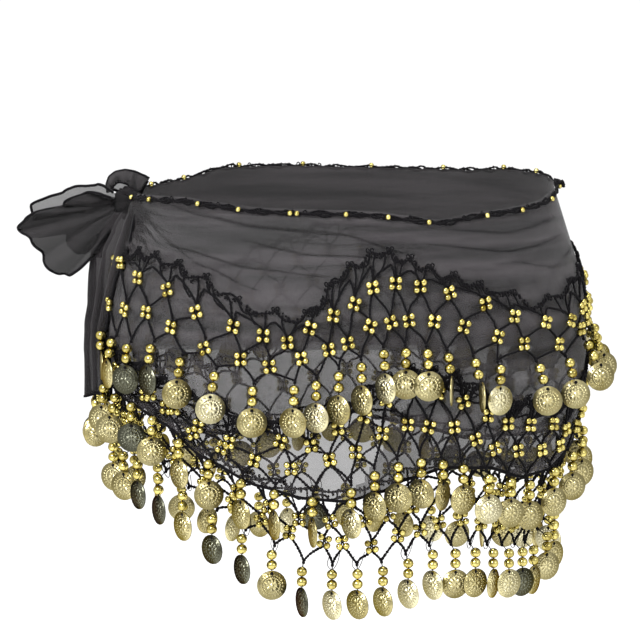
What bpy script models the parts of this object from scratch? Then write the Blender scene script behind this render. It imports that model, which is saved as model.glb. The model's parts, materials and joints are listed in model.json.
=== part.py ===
# Hip scarf for belly dance: black chiffon wound round the hips and knotted at one side,
# with a beaded crochet edging, three tiers of crochet net, and rows of beads and coins.
# The scarf keeps the hollow form it has when worn. All sizes below are in millimetres.
# +X is the side away from the knot, -Y is the front, +Z is up, and the origin is the
# middle of the top rim, where the wearer's hips hold the scarf.

import bpy
from math import cos, degrees, hypot, pi, radians, sin

MM = 0.001

# Cloth, net and seam sizes
CHIFFON = 1.0
NET = 1.2
SEAM = 0.3
NET_OUT = CHIFFON + 0.9
NET_IN = -0.65 - NET
LAP = 7.0
THREAD = 1.2
PICOT = 3.0
CHAIN_DEEP = 1.8
CHAIN_TALL = 1.0
CORD_SIZE = 1.5
CORD_DROP = 2.5
CORD_STEPS = 30
CLOTH_COLUMNS = 30
CLOTH_ROWS = (0.0, 0.09, 0.2, 0.33, 0.5, 0.7, 0.93, 1.0)

# Heights in each tier, as shares from the valley to the top edge: the upper end of the lower
# knots, the middle knots, and the top of the gaps
LEVELS = {1: (0.28, 0.53, 0.80), 2: (0.28, 0.53, 0.80), 3: (0.30, 0.55, 0.86)}

# Where the stretches of the wound scarf end, in degrees round the hips: the chiffon runs to
# the knot at both ends, and the nets end at the edges of the hanging tail
CLOTH_ENDS = (-80.0, 268.0)
NET_ENDS = (-77.0, 263.0)
CLOTH_SEAM = 90.0
NET_SEAM = 87.0
SEAM_TURN = 0.1

# Beads and coins
BEAD_RADIUS = 4.0
BEAD_STEP = 7.0
FIRST_BEAD = 5.5
NECK = 1.0
COIN_RADIUS = 10.0
COIN_THICK = 1.3
COIN_DROP = 26.5
ROOT = 1.0
STRAND_CLEAR = 7.0
COIN_CLEAR = 4.8
COIN_LIFT = 3.6
BEAD_SIDE = 0.87
TUCK = 0.35
TUCK_FROM = -120.0
FREE_BELOW = -150.0
FREE_TUCK = 10.5

# Rings of a coin: (how far down from its middle, half width), as shares of its radius
COIN_RINGS = ((-0.45, 0.89), (0.45, 0.89), (0.98, 0.35))

# Hip form: height, half width, half depth
FORM = (
    (12.0, 143.0, 98.0),
    (0.0, 145.0, 100.0),
    (-17.0, 150.5, 104.0),
    (-31.0, 155.0, 108.0),
    (-56.0, 163.0, 113.0),
    (-77.0, 166.6, 117.0),
    (-91.0, 168.0, 118.0),
    (-112.0, 168.0, 119.0),
    (-150.0, 164.0, 118.0),
    (-176.0, 159.0, 116.0),
    (-200.0, 150.5, 112.0),
    (-225.0, 142.0, 108.0),
    (-260.0, 136.0, 105.0),
    (-300.0, 134.0, 104.0),
)

# Heights of each edge at stations round the hips, in the order of the names. The waves of
# the tiers rise and fall together, and all of them draw up to the knot.
EDGES = ("rim", "top1", "low1", "top2", "low2", "hem", "low3")
STATIONS = (
    (-90, -2.0, -48.0, -88.0, -93.0, -124.0, -128.0, -164.0),
    (-75, 0.0, -44.0, -91.0, -99.0, -128.0, -133.0, -169.0),
    (-60, 1.0, -38.0, -95.5, -108.0, -134.0, -141.0, -175.0),
    (-48, 2.0, -41.0, -92.5, -119.0, -142.5, -150.0, -186.0),
    (-36, 0.0, -50.5, -101.5, -130.0, -165.0, -170.5, -206.0),
    (-22, -2.5, -69.0, -115.5, -140.0, -182.0, -187.0, -226.0),
    (-10, -3.0, -74.0, -113.5, -141.0, -190.0, -194.5, -240.0),
    (0, -3.3, -42.0, -103.0, -129.0, -184.0, -196.0, -240.0),
    (8, -4.5, -30.0, -90.0, -114.0, -169.0, -190.0, -239.0),
    (15, -7.0, -37.0, -89.0, -108.0, -162.5, -181.0, -234.0),
    (24, -10.0, -48.0, -94.0, -112.0, -165.5, -174.5, -228.0),
    (36, -6.5, -58.0, -103.5, -129.0, -178.0, -177.0, -230.0),
    (50, -4.6, -71.0, -106.0, -136.0, -187.0, -187.5, -235.0),
    (62, -2.5, -64.0, -105.5, -137.0, -181.0, -187.0, -238.0),
    (75, 1.5, -54.0, -96.5, -128.0, -172.0, -176.0, -231.0),
    (90, 6.0, -44.0, -92.0, -117.0, -165.0, -172.0, -226.0),
    (108, 8.5, -37.0, -91.0, -112.0, -164.0, -176.0, -227.0),
    (126, 9.0, -57.0, -103.0, -128.0, -179.0, -186.0, -234.0),
    (144, 6.5, -72.0, -113.0, -139.0, -188.0, -193.0, -240.0),
    (162, 6.5, -50.0, -101.0, -124.0, -176.0, -186.0, -236.0),
    (180, 7.0, -33.0, -90.0, -110.0, -164.0, -177.0, -230.0),
    (198, 8.5, -50.0, -101.0, -124.0, -176.0, -185.0, -234.0),
    (216, 8.5, -71.0, -113.0, -139.0, -186.0, -190.0, -236.0),
    (234, 1.0, -55.0, -103.0, -128.0, -170.0, -176.0, -214.0),
    (252, -1.0, -44.0, -93.0, -108.0, -144.0, -150.0, -185.0),
    (270, -2.0, -48.0, -88.0, -93.0, -124.0, -128.0, -164.0),
)

# Dangles of each tier: (column, degrees) pairs that place the front ones, which bunch up
# where the net rises, and the number of them behind
FRONT_COLUMNS = {
    1: ((0, -74), (2, -58), (6, -21), (7, -11.5), (14, 22.7), (16, 36), (19, 72.6), (20, 82)),
    2: ((0, -74), (3, -49.6), (7, -17.3), (9, 1.1), (14, 27.9), (17, 50.6), (19, 70.7), (20, 81)),
    3: ((0, -74), (4, -43.8), (9, -3.8), (14, 30), (19, 62.4), (21, 81.5)),
}
BACK_COLUMNS = {1: 21, 2: 21, 3: 20}

# How far each front coin is turned from facing straight out, in degrees
COIN_TURNS = {
    1: (30, -40, 50, -45, 8, 15, -10, 12, 50, 42, 50, 48, 12, 0, 80, -75, 38, 5, -15, 50, -30),
    2: (25, -35, 20, 10, 58, 0, -58, 64, 70, 80, 45, 36, 38, 40, 36, 80, 20, -20, 10, 45, -20),
    3: (40, -30, 20, -25, 60, 50, -60, 0, 66, 50, 38, 45, 38, 38, 30, 45, 72, 40, 45, 45, 20, -35),
}

# Creases that the knot draws in the chiffon: angle and height of the middle, length round
# the hips, height, slope in millimetres for each degree, and depth
CREASES = (
    (-66, -22, 34, 9, -0.55, 2.6),
    (-58, -50, 30, 11, -1.1, 2.2),
    (-30, -24, 44, 8, -0.25, 1.6),
    (12, -30, 50, 8, -0.12, 1.4),
    (52, -24, 36, 9, 0.2, 1.3),
    (122, -30, 46, 10, 0.1, 1.5),
    (180, -40, 60, 11, -0.1, 1.6),
    (238, -32, 44, 11, 0.5, 2.2),
)

# Knot: the two ends of the cloth run into it
KNOT_CENTRE = (-150.0, -7.2, -8.0)
KNOT_RADII = (12.0, 9.2, 15.0)
KNOT_FOLDS = 5
KNOT_FOLD_DEPTH = 0.9
KNOT_TWIST = 0.9
KNOT_AROUND = 14
KNOT_LEVELS = 8

# Fan of the short tail: direction of each fold in degrees, its length, and how far it
# stands to the front, seen square from the front and measured from the knot's middle
TAIL_WALL = 1.5
FAN_PLANES = (2.0, 10.0)
FAN_SHARES = (0.0, 0.3, 0.65, 1.0)
FAN_SEAT = -0.45
FAN_FOLDS = (
    (169, 45, 3.0),
    (176, 60, -4.0),
    (184, 66, 4.5),
    (193, 77, -5.0),
    (200, 71, 4.0),
    (208, 69, -4.5),
    (218, 69, 5.0),
    (228, 70, -4.0),
    (235, 57, 3.0),
)

# Ear of cloth over the knot: width across and height of its middle line
EAR_LINE = (
    (-164.2, -3.5), (-165.5, 4), (-162.8, 10), (-156, 14.5), (-148, 15.5), (-141, 13),
    (-136.8, 8), (-136, 1), (-137.2, -4),
)
EAR_WIDTH = 12.0

# Hanging tail: height, angle of its middle, distance out from the hip form, width, depth
# of its folds
TAIL_FOLDS = 3
TAIL_STEPS = 12
TAIL = (
    (-22.5, -82.5, 4.6, 20.0, 2.5),
    (-45.0, -83.5, 7.0, 25.0, 4.2),
    (-70.0, -84.0, 8.0, 27.0, 5.2),
    (-95.0, -85.5, 8.5, 29.0, 5.8),
    (-120.0, -86.5, 9.5, 29.0, 6.0),
    (-141.0, -87.0, 10.0, 27.0, 5.4),
)
TAIL_DANGLES = (-6.5, 1.5, 9.5)

BLACK = (0.012, 0.012, 0.014, 1.0)
GOLD = (0.60, 0.52, 0.30, 1.0)

RISING_FORM = tuple(reversed(FORM))
RISING_TAIL = tuple(reversed(TAIL))
WIDEST = max(FORM, key=lambda row: row[1])


def clear_scene():
    for old in list(bpy.data.objects):
        bpy.data.objects.remove(old)


def make_material(name, colour, roughness, metallic):
    material = bpy.data.materials.new(name)
    material.use_nodes = True
    shader = material.node_tree.nodes["Principled BSDF"]
    shader.inputs["Base Color"].default_value = colour
    shader.inputs["Roughness"].default_value = roughness
    shader.inputs["Metallic"].default_value = metallic
    return material


def add_solid(name, points, faces, material, smooth=False):
    """One closed mesh from points in millimetres."""
    mesh = bpy.data.meshes.new(name)
    mesh.from_pydata([[MM * value for value in point] for point in points], [], faces)
    mesh.validate()
    if smooth:
        mesh.shade_smooth()
    mesh.materials.append(material)
    obj = bpy.data.objects.new(name, mesh)
    bpy.context.scene.collection.objects.link(obj)
    return obj


def between(rows, key, column):
    """A value read from a table whose first column rises, with soft turns at its rows."""
    for low, high in zip(rows, rows[1:]):
        if low[0] <= key <= high[0]:
            share = (key - low[0]) / (high[0] - low[0])
            share = 0.5 * share + 0.5 * (1 - cos(pi * share)) / 2
            return low[column] + (high[column] - low[column]) * share
    return rows[0][column] if key < rows[0][0] else rows[-1][column]


def straight(rows, key, column):
    for low, high in zip(rows, rows[1:]):
        if low[0] <= key <= high[0]:
            share = (key - low[0]) / (high[0] - low[0])
            return low[column] + (high[column] - low[column]) * share
    return rows[0][column] if key < rows[0][0] else rows[-1][column]


def edge(name, angle):
    """Height of a named edge at an angle round the hips."""
    turned = angle + 360.0 if angle < -90.0 else angle
    return between(STATIONS, turned, 1 + EDGES.index(name))


def crease(angle, height):
    depth = 0.0
    for middle, level, length, tall, slope, deep in CREASES:
        along = (angle - middle) / (0.5 * length)
        across = (height - level - slope * (angle - middle)) / tall
        if abs(along) < 1 and abs(across) < 2:
            depth += deep * (1 - along * along) ** 2 * cos(pi * across / 4) ** 2
    return depth


def on_form(angle, height, out):
    """The point of the hip form at an angle and height, moved out square to the form."""
    half_width = straight(RISING_FORM, height, 1)
    half_depth = straight(RISING_FORM, height, 2)
    turn = radians(angle)
    x, y = half_width * sin(turn), -half_depth * cos(turn)
    nx, ny = half_depth * sin(turn), -half_width * cos(turn)
    size = hypot(nx, ny)
    return (x + out * nx / size, y + out * ny / size, height)


def wall_of(front, back, faces):
    """Points and faces of a wall between two sheets of points that share their faces."""
    count = len(front)
    walls = list(faces) + [tuple(count + i for i in reversed(face)) for face in faces]
    edges = {(a, b) for face in faces for a, b in zip(face, face[1:] + face[:1])}
    for a, b in sorted(edges):
        if (b, a) not in edges:
            walls.append((b, a, count + a, count + b))
    return front + back, walls


def thickened(patch, faces, inner, outer, sink=lambda angle, height: 0.0):
    """Points and faces of a wall: a patch of (angle, height) points between two depths."""
    front = [on_form(*spot, outer - sink(*spot)) for spot in patch]
    back = [on_form(*spot, inner - sink(*spot)) for spot in patch]
    return wall_of(front, back, faces)


def grid_faces(columns, rows):
    """Quads of a grid of points that runs along the rows, with rows going down."""
    faces = []
    for row in range(rows):
        for column in range(columns):
            a = row * (columns + 1) + column
            b = a + columns + 1
            faces.append((a, b, b + 1, a + 1))
    return faces


def chiffon_wall(name, start, end, material):
    patch = []
    for share in CLOTH_ROWS:
        for column in range(CLOTH_COLUMNS + 1):
            angle = start + (end - start) * column / CLOTH_COLUMNS
            top, bottom = edge("rim", angle), edge("hem", angle)
            patch.append((angle, top + (bottom - top) * share))
    faces = grid_faces(CLOTH_COLUMNS, len(CLOTH_ROWS) - 1)
    solid = thickened(patch, faces, 0.0, CHIFFON, crease)
    return add_solid(name, *solid, material, smooth=True)


def edging_cord(name, start, end, material):
    """The crochet cord along the rim, a four-sided tube on the outside of the cloth."""
    points, faces = [], []
    size, out = CORD_SIZE, CHIFFON + SEAM + CORD_SIZE
    for step in range(CORD_STEPS + 1):
        angle = start + (end - start) * step / CORD_STEPS
        middle = edge("rim", angle) - CORD_DROP
        for more, rise in ((-size, 0.0), (0.0, size), (size, 0.0), (0.0, -size)):
            points.append(on_form(angle, middle + rise, out + more))
    for step in range(CORD_STEPS):
        for side in range(4):
            a, b = 4 * step + side, 4 * step + (side + 1) % 4
            faces.append((a, b, b + 4, a + 4))
    faces.append((3, 2, 1, 0))
    faces.append(tuple(4 * CORD_STEPS + side for side in range(4)))
    return add_solid(name, points, faces, material)


def columns_of(tier, part):
    """Angles of the dangles of one tier, and of the points midway between them."""
    if part == "front":
        rows = FRONT_COLUMNS[tier]
        columns = [straight(rows, index, 1) for index in range(rows[-1][0] + 1)]
        start, end = NET_ENDS[0], NET_SEAM - SEAM_TURN
    else:
        count = BACK_COLUMNS[tier]
        start, end = NET_SEAM + SEAM_TURN, NET_ENDS[1]
        step = (end - start) / count
        columns = [start + step * (index + 0.5) for index in range(count)]
    mids = [0.5 * (a + b) for a, b in zip(columns, columns[1:])]
    return columns, [start] + mids + [end]


def tier_levels(tier, angle):
    """Heights in one tier: valley, lower knots, middle knots, top of the gaps, top edge."""
    valley = edge(f"low{tier}", angle)
    top = edge("hem", angle) + LAP if tier == 3 else edge(f"top{tier}", angle)
    lower, middle, gap_top = (valley + share * (top - valley) for share in LEVELS[tier])
    return valley, lower, middle, gap_top, top


def turn_of(length, angle):
    """Degrees round the hips that a short length takes up."""
    turn = radians(angle)
    half_width, half_depth = WIDEST[1:]
    return degrees(length / hypot(half_width * cos(turn), half_depth * sin(turn)))


def net_wall(tier, part, material):
    columns, mids = columns_of(tier, part)
    patch, faces = [], []
    picot = 0.0 if tier == 3 else PICOT
    for mid in mids:
        _, lower, _, gap_top, top = tier_levels(tier, mid)
        patch += [(mid, lower - THREAD), (mid, lower + THREAD), (mid, gap_top), (mid, top + picot)]
    first = len(patch)
    for column in columns:
        _, _, middle, _, top = tier_levels(tier, column)
        half = turn_of(THREAD, column)
        patch += [(column, middle - THREAD), (column - half, middle), (column + half, middle)]
        patch.append((column, top))
    for index in range(len(columns)):
        left, right, own = 4 * index, 4 * index + 4, first + 4 * index
        faces.append((left, own, own + 1, left + 1))
        faces.append((own, right, right + 1, own + 2))
        faces.append((own, own + 2, own + 1))
        faces.append((own + 1, own + 2, own + 3))
        faces.append((own + 2, right + 2, right + 3, own + 3))
        faces.append((left + 2, own + 1, own + 3, left + 3))
    inner = NET_IN if tier == 3 else NET_OUT
    solid = thickened(patch, faces, inner, inner + NET)
    return add_solid(f"net_{tier}_{part}", *solid, material)


def tangent_and_normal(angle):
    turn = radians(angle)
    half_width, half_depth = WIDEST[1:]
    tx, ty = half_width * cos(turn), half_depth * sin(turn)
    size = hypot(tx, ty)
    return (tx / size, ty / size), (ty / size, -tx / size)


def strand_sections(base, tangent, normal, turn, lift):
    """Rings of three points that run down one dangle: two beads and a coin. Lower down the
    form draws in, so the coin hangs nearer to it."""
    x, y, z = base
    swing = max(STRAND_CLEAR, COIN_CLEAR + COIN_RADIUS * abs(sin(radians(turn)))) + lift
    tuck = FREE_TUCK if z < FREE_BELOW else TUCK * max(0.0, TUCK_FROM - z)
    swing = max(swing - tuck, STRAND_CLEAR)
    side = (cos(radians(turn)), sin(radians(turn)))
    across = [side[0] * t + side[1] * n for t, n in zip(tangent, normal)]
    through = [-side[1] * t + side[0] * n for t, n in zip(tangent, normal)]

    def ring(drop, out, wide, deep):
        cx, cy = x + out * normal[0], y + out * normal[1]
        corners = ((-wide, -0.5 * deep), (wide, -0.5 * deep), (0.0, deep))
        return [
            (cx + u * across[0] + v * through[0], cy + u * across[1] + v * through[1], z - drop)
            for u, v in corners
        ]

    second = FIRST_BEAD + BEAD_STEP
    beads, thick = BEAD_SIDE * BEAD_RADIUS, 0.7 * COIN_THICK
    middle = STRAND_CLEAR + 0.4 * (swing - STRAND_CLEAR)
    rings = [
        ring(FIRST_BEAD, STRAND_CLEAR, beads, BEAD_RADIUS),
        ring(FIRST_BEAD + 0.5 * BEAD_STEP, 0.5 * (STRAND_CLEAR + middle), NECK, NECK),
        ring(second, middle, beads, BEAD_RADIUS),
        ring(COIN_DROP - COIN_RADIUS, 0.5 * (middle + swing), NECK, thick),
    ]
    for share, wide in COIN_RINGS:
        drop = COIN_DROP + share * COIN_RADIUS
        rings.append(ring(drop, swing, wide * COIN_RADIUS, thick))
    return rings


def add_strand(points, faces, root, rings):
    """Carries on from the four corners of a root in the chain to rings of three points, and
    caps the last one."""
    start = len(points)
    for ring in rings:
        points += ring
    a, b, c = start, start + 1, start + 2
    left_in, left_out, right_out, right_in = root
    faces.append((left_in, right_in, b, a))
    faces.append((right_in, right_out, b))
    faces.append((right_out, c, b))
    faces.append((right_out, left_out, c))
    faces.append((left_out, left_in, a, c))
    for index in range(len(rings) - 1):
        for side in range(3):
            upper = start + 3 * index + side
            other = start + 3 * index + (side + 1) % 3
            faces.append((upper, other, other + 3, upper + 3))
    last = start + 3 * (len(rings) - 1)
    faces.append((last, last + 1, last + 2))


def fringe(tier, part, material):
    """The lowest crochet chain of a tier, a zigzag, with a dangle fused on at each valley."""
    columns, mids = columns_of(tier, part)
    turns = COIN_TURNS[tier]
    inner = NET_IN + 0.2 if tier == 3 else NET_OUT
    points, faces, rings, roots = [], [], [], []

    def ring(angle, height):
        start = len(points)
        for out, side in ((0.0, -1), (0.5 * CHAIN_DEEP, 1), (CHAIN_DEEP, -1)):
            points.append(on_form(angle, height + side * CHAIN_TALL, inner + out))
        rings.append(start)

    for index, mid in enumerate(mids):
        peak = tier_levels(tier, mid)[1] - THREAD - SEAM - CHAIN_TALL
        ring(mid, peak)
        if index < len(columns):
            column = columns[index]
            valley = tier_levels(tier, column)[0]
            half = turn_of(ROOT, column)
            roots.append(len(rings))
            ring(column - half, valley)
            ring(column + half, valley)
    for index in range(len(rings) - 1):
        a, b = rings[index], rings[index + 1]
        faces.append((a + 1, b + 1, b, a))
        faces.append((a + 2, b + 2, b + 1, a + 1))
        if index not in roots:
            faces.append((a, b, b + 2, a + 2))
    first, last = rings[0], rings[-1]
    faces.append((first + 2, first + 1, first))
    faces.append((last, last + 1, last + 2))
    for index, column in enumerate(columns):
        left, right = rings[roots[index]], rings[roots[index] + 1]
        root = (left, left + 2, right + 2, right)
        height = tier_levels(tier, column)[0]
        base = on_form(column, height, 0.0)
        tangent, normal = tangent_and_normal(column)
        turn = turns[index % len(turns)] if part == "front" else turns[-1 - index % len(turns)]
        lift = COIN_LIFT * (index % 2)
        rings_down = strand_sections(base, tangent, normal, turn, lift)
        add_strand(points, faces, root, rings_down)
    return add_solid(f"fringe_{tier}_{part}", points, faces, material)


def knot(material):
    """A ball of wrapped cloth with shallow folds round it."""
    around, levels = KNOT_AROUND, KNOT_LEVELS
    points, faces = [], []
    cx, cy, cz = KNOT_CENTRE
    rx, ry, rz = KNOT_RADII
    for level in range(1, levels):
        tilt = pi * level / levels
        for step in range(around):
            turn = 2 * pi * step / around
            fold = KNOT_FOLD_DEPTH * cos(KNOT_FOLDS * (turn + KNOT_TWIST * tilt)) * sin(tilt)
            x = cx + (rx + fold) * sin(tilt) * cos(turn)
            y = cy + (ry + fold) * sin(tilt) * sin(turn)
            points.append((x, y, cz + rz * cos(tilt)))
    for level in range(levels - 2):
        for step in range(around):
            a, b = around * level + step, around * level + (step + 1) % around
            faces.append((a, a + around, b + around, b))
    top, bottom = len(points), len(points) + 1
    points += [(cx, cy, cz + rz), (cx, cy, cz - rz)]
    last = around * (levels - 2)
    for step in range(around):
        after = (step + 1) % around
        faces.append((top, step, after))
        faces.append((bottom, last + after, last + step))
    return add_solid("knot", points, faces, material, smooth=True)


def tail_fan(material):
    """The short tail, pleated into the knot and spread like a fan."""
    cx, cy, cz = KNOT_CENTRE
    rx, _, rz = (radius + KNOT_FOLD_DEPTH for radius in KNOT_RADII)
    near, far = FAN_PLANES
    front, back = [], []
    for direction, length, forward in reversed(FAN_FOLDS):
        turn = radians(direction)
        start = 1.0 / hypot(cos(turn) / rx, sin(turn) / rz) + FAN_SEAT
        for share in FAN_SHARES:
            reach = start + (length - start) * share
            plane = near + (far - near) * min(1.0, share / FAN_SHARES[1])
            y = cy - plane - forward * share
            x, z = cx + reach * cos(turn), cz + reach * sin(turn)
            front.append((x, y - 0.5 * TAIL_WALL, z))
            back.append((x, y + 0.5 * TAIL_WALL, z))
    solid = wall_of(front, back, grid_faces(len(FAN_SHARES) - 1, len(FAN_FOLDS) - 1))
    return add_solid("tail_fan", *solid, material)


def knot_ear(material):
    """The ear of cloth that stands over the knot, a bent ribbon."""
    front, back = [], []
    y_middle = KNOT_CENTRE[1]
    last = len(EAR_LINE) - 1
    for index, (x, z) in enumerate(EAR_LINE):
        before, after = EAR_LINE[max(0, index - 1)], EAR_LINE[min(last, index + 1)]
        dx, dz = after[0] - before[0], after[1] - before[1]
        size = hypot(dx, dz)
        nx, nz = -dz / size * 0.5 * TAIL_WALL, dx / size * 0.5 * TAIL_WALL
        for y in (y_middle - 0.5 * EAR_WIDTH, y_middle + 0.5 * EAR_WIDTH):
            front.append((x + nx, y, z + nz))
            back.append((x - nx, y, z - nz))
    solid = wall_of(front, back, grid_faces(1, last))
    return add_solid("knot_ear", *solid, material)


def tail_point(height, share, out_more):
    """A point across the hanging tail, from 0 at its front edge to 1 at its back edge."""
    middle = straight(RISING_TAIL, height, 1)
    out = straight(RISING_TAIL, height, 2)
    width = straight(RISING_TAIL, height, 3)
    fold = straight(RISING_TAIL, height, 4)
    angle = middle - turn_of(width, middle) * (share - 0.5)
    return on_form(angle, height, out + out_more - fold * cos(2 * pi * TAIL_FOLDS * share))


def tail_hanging(material):
    """The long tail, gathered in folds, over the slit below the knot."""
    outer, inner = [], []
    for height, *_ in TAIL:
        for step in range(TAIL_STEPS + 1):
            share = 1.0 - step / TAIL_STEPS
            outer.append(tail_point(height, share, 0.5 * TAIL_WALL))
            inner.append(tail_point(height, share, -0.5 * TAIL_WALL))
    solid = wall_of(outer, inner, grid_faces(TAIL_STEPS, len(TAIL) - 1))
    return add_solid("tail_hanging", *solid, material)


def tail_fringe(material):
    """A short backing under the foot of the tail, with coins that face the front."""
    foot, middle, out = TAIL[-1][:3]
    level = foot - SEAM - CHAIN_TALL
    half_deep = 0.5 * CHAIN_DEEP
    base_angles = sorted(middle - turn_of(place, middle) for place in TAIL_DANGLES)
    half = turn_of(ROOT, middle)
    points, faces, starts = [], [], []
    for angle in base_angles:
        for side in (-half, half):
            starts.append(len(points))
            for more, rise in ((-half_deep, -CHAIN_TALL), (0.0, CHAIN_TALL), (half_deep, -CHAIN_TALL)):
                points.append(on_form(angle + side, level + rise, out + more))
    for index, (a, b) in enumerate(zip(starts, starts[1:])):
        faces.append((a + 1, b + 1, b, a))
        faces.append((a + 2, b + 2, b + 1, a + 1))
        if index % 2:
            faces.append((a, b, b + 2, a + 2))
    first, last = starts[0], starts[-1]
    faces.append((first + 2, first + 1, first))
    faces.append((last, last + 1, last + 2))
    for index, angle in enumerate(base_angles):
        left, right = starts[2 * index], starts[2 * index + 1]
        tangent, normal = tangent_and_normal(angle)
        base = on_form(angle, level, out - STRAND_CLEAR)
        rings = strand_sections(base, tangent, normal, 80.0 - 8.0 * index, 0.0)
        add_strand(points, faces, (left, left + 2, right + 2, right), rings)
    return add_solid("fringe_tail", points, faces, material)


def build():
    clear_scene()
    chiffon = make_material("black_chiffon", BLACK, 0.9, 0.0)
    crochet = make_material("black_crochet", BLACK, 0.95, 0.0)
    brass = make_material("gold_beads_and_coins", GOLD, 0.35, 1.0)
    stretches = {
        "front": (CLOTH_ENDS[0], CLOTH_SEAM - SEAM_TURN),
        "back": (CLOTH_SEAM + SEAM_TURN, CLOTH_ENDS[1]),
    }
    for part, (start, end) in stretches.items():
        chiffon_wall(f"chiffon_{part}", start, end, chiffon)
        edging_cord(f"edging_{part}", start, end, crochet)
        for tier in (1, 2, 3):
            net_wall(tier, part, crochet)
            fringe(tier, part, brass)
    knot(chiffon)
    knot_ear(chiffon)
    tail_fan(chiffon)
    tail_hanging(chiffon)
    tail_fringe(brass)


build()
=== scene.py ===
# Looks of the hip scarf: sheer black chiffon, beaded crochet edging, three crochet net tiers
# with four-bead clusters, and rows of dangles with two beads and a stamped coin each.
# Table values are in millimetres and degrees; 0 degrees is the front, 90 the plain side.

import json
import random
from math import cos, degrees, hypot, pi, radians, sin

import bpy
import bmesh
from mathutils import Matrix, Vector

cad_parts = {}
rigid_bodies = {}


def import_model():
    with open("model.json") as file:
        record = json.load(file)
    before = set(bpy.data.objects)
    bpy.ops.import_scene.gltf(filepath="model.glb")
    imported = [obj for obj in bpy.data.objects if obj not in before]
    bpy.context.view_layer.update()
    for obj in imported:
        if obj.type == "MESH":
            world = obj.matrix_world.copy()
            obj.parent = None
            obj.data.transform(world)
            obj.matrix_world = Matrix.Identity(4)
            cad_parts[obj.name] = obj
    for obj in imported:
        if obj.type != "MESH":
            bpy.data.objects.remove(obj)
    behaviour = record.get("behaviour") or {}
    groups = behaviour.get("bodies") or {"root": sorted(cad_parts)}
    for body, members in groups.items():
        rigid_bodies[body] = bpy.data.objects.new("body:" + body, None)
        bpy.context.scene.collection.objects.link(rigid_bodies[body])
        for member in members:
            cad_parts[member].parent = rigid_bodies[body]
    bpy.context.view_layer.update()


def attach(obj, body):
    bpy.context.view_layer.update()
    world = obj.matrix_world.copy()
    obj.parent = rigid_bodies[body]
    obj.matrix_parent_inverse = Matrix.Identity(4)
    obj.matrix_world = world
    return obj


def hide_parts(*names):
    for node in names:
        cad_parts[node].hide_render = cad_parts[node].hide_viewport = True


for leftOver in list(bpy.data.objects):
    bpy.data.objects.remove(leftOver)
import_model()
scene = bpy.context.scene
mm = 0.001


def colourOf(hexValue):  # sRGB hex to linear
    parts = [int(hexValue[i:i + 2], 16) / 255 for i in (1, 3, 5)]
    return [p / 12.92 if p <= 0.04045 else ((p + 0.055) / 1.055) ** 2.4 for p in parts] + [1.0]


def addNode(tree, kind, settings=None, links=None):  # sockets by name, or by number where names repeat
    node = tree.nodes.new(kind)
    for name, value in (settings or {}).items():
        if isinstance(name, int) or name in node.inputs and not hasattr(node, name):
            node.inputs[name].default_value = value
        else:
            setattr(node, name, value)
    for name, source in (links or {}).items():
        tree.links.new(source, node.inputs[name])
    return node


def newMaterial(name, values):  # values: what is the same all over the surface
    material = bpy.data.materials.new(name)
    material.use_nodes = True
    tree = material.node_tree
    shader = tree.nodes["Principled BSDF"]
    for socket, value in values.items():
        shader.inputs[socket].default_value = value
    return material, tree, shader


def joinShader(tree, shader, colour, bump):
    tree.links.new(colour.outputs[2], shader.inputs["Base Color"])
    tree.links.new(bump.outputs["Normal"], shader.inputs["Normal"])


def evenly(low, high, count):
    return [low + (high - low) * i / (count - 1) for i in range(count)]


# The worn form that every piece lies on: an oval that changes with height, and the wavy edges
# of the cloth and the nets as heights round it.
form = {
    "rows": (  # height, half width, half depth
        (-300, 134, 104), (-260, 136, 105), (-225, 142, 108), (-200, 150.5, 112), (-176, 159, 116),
        (-150, 164, 118), (-112, 168, 119), (-91, 168, 118), (-77, 166.6, 117), (-56, 163, 113),
        (-31, 155, 108), (-17, 150.5, 104), (0, 145, 100), (12, 143, 98),
    ),
    "edges": ("rim", "top1", "low1", "top2", "low2", "hem", "low3"),
    "stations": (  # angle, then the height of each edge
        (-90, -2, -48, -88, -93, -124, -128, -164), (-75, 0, -44, -91, -99, -128, -133, -169),
        (-60, 1, -38, -95.5, -108, -134, -141, -175), (-48, 2, -41, -92.5, -119, -142.5, -150, -186),
        (-36, 0, -50.5, -101.5, -130, -165, -170.5, -206), (-22, -2.5, -69, -115.5, -140, -182, -187, -226),
        (-10, -3, -74, -113.5, -141, -190, -194.5, -240), (0, -3.3, -42, -103, -129, -184, -196, -240),
        (8, -4.5, -30, -90, -114, -169, -190, -239), (15, -7, -37, -89, -108, -162.5, -181, -234),
        (24, -10, -48, -94, -112, -165.5, -174.5, -228), (36, -6.5, -58, -103.5, -129, -178, -177, -230),
        (50, -4.6, -71, -106, -136, -187, -187.5, -235), (62, -2.5, -64, -105.5, -137, -181, -187, -238),
        (75, 1.5, -54, -96.5, -128, -172, -176, -231), (90, 6, -44, -92, -117, -165, -172, -226),
        (108, 8.5, -37, -91, -112, -164, -176, -227), (126, 9, -57, -103, -128, -179, -186, -234),
        (144, 6.5, -72, -113, -139, -188, -193, -240), (162, 6.5, -50, -101, -124, -176, -186, -236),
        (180, 7, -33, -90, -110, -164, -177, -230), (198, 8.5, -50, -101, -124, -176, -185, -234),
        (216, 8.5, -71, -113, -139, -186, -190, -236), (234, 1, -55, -103, -128, -170, -176, -214),
        (252, -1, -44, -93, -108, -144, -150, -185), (270, -2, -48, -88, -93, -124, -128, -164),
    ),
    "clothEnds": (-80.0, 268.0),   # angles where the wound cloth starts and ends, under the knot
    "netEnds": (-77.0, 263.0),
    "girth": (168.0, 119.0),       # half width and half depth at the widest
}


def tableValue(rows, key, column, softness):
    for low, high in zip(rows, rows[1:]):
        if low[0] <= key <= high[0]:
            share = (key - low[0]) / (high[0] - low[0])
            share += softness * ((1 - cos(pi * share)) / 2 - share)
            return low[column] + (high[column] - low[column]) * share
    return rows[0][column] if key < rows[0][0] else rows[-1][column]


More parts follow.
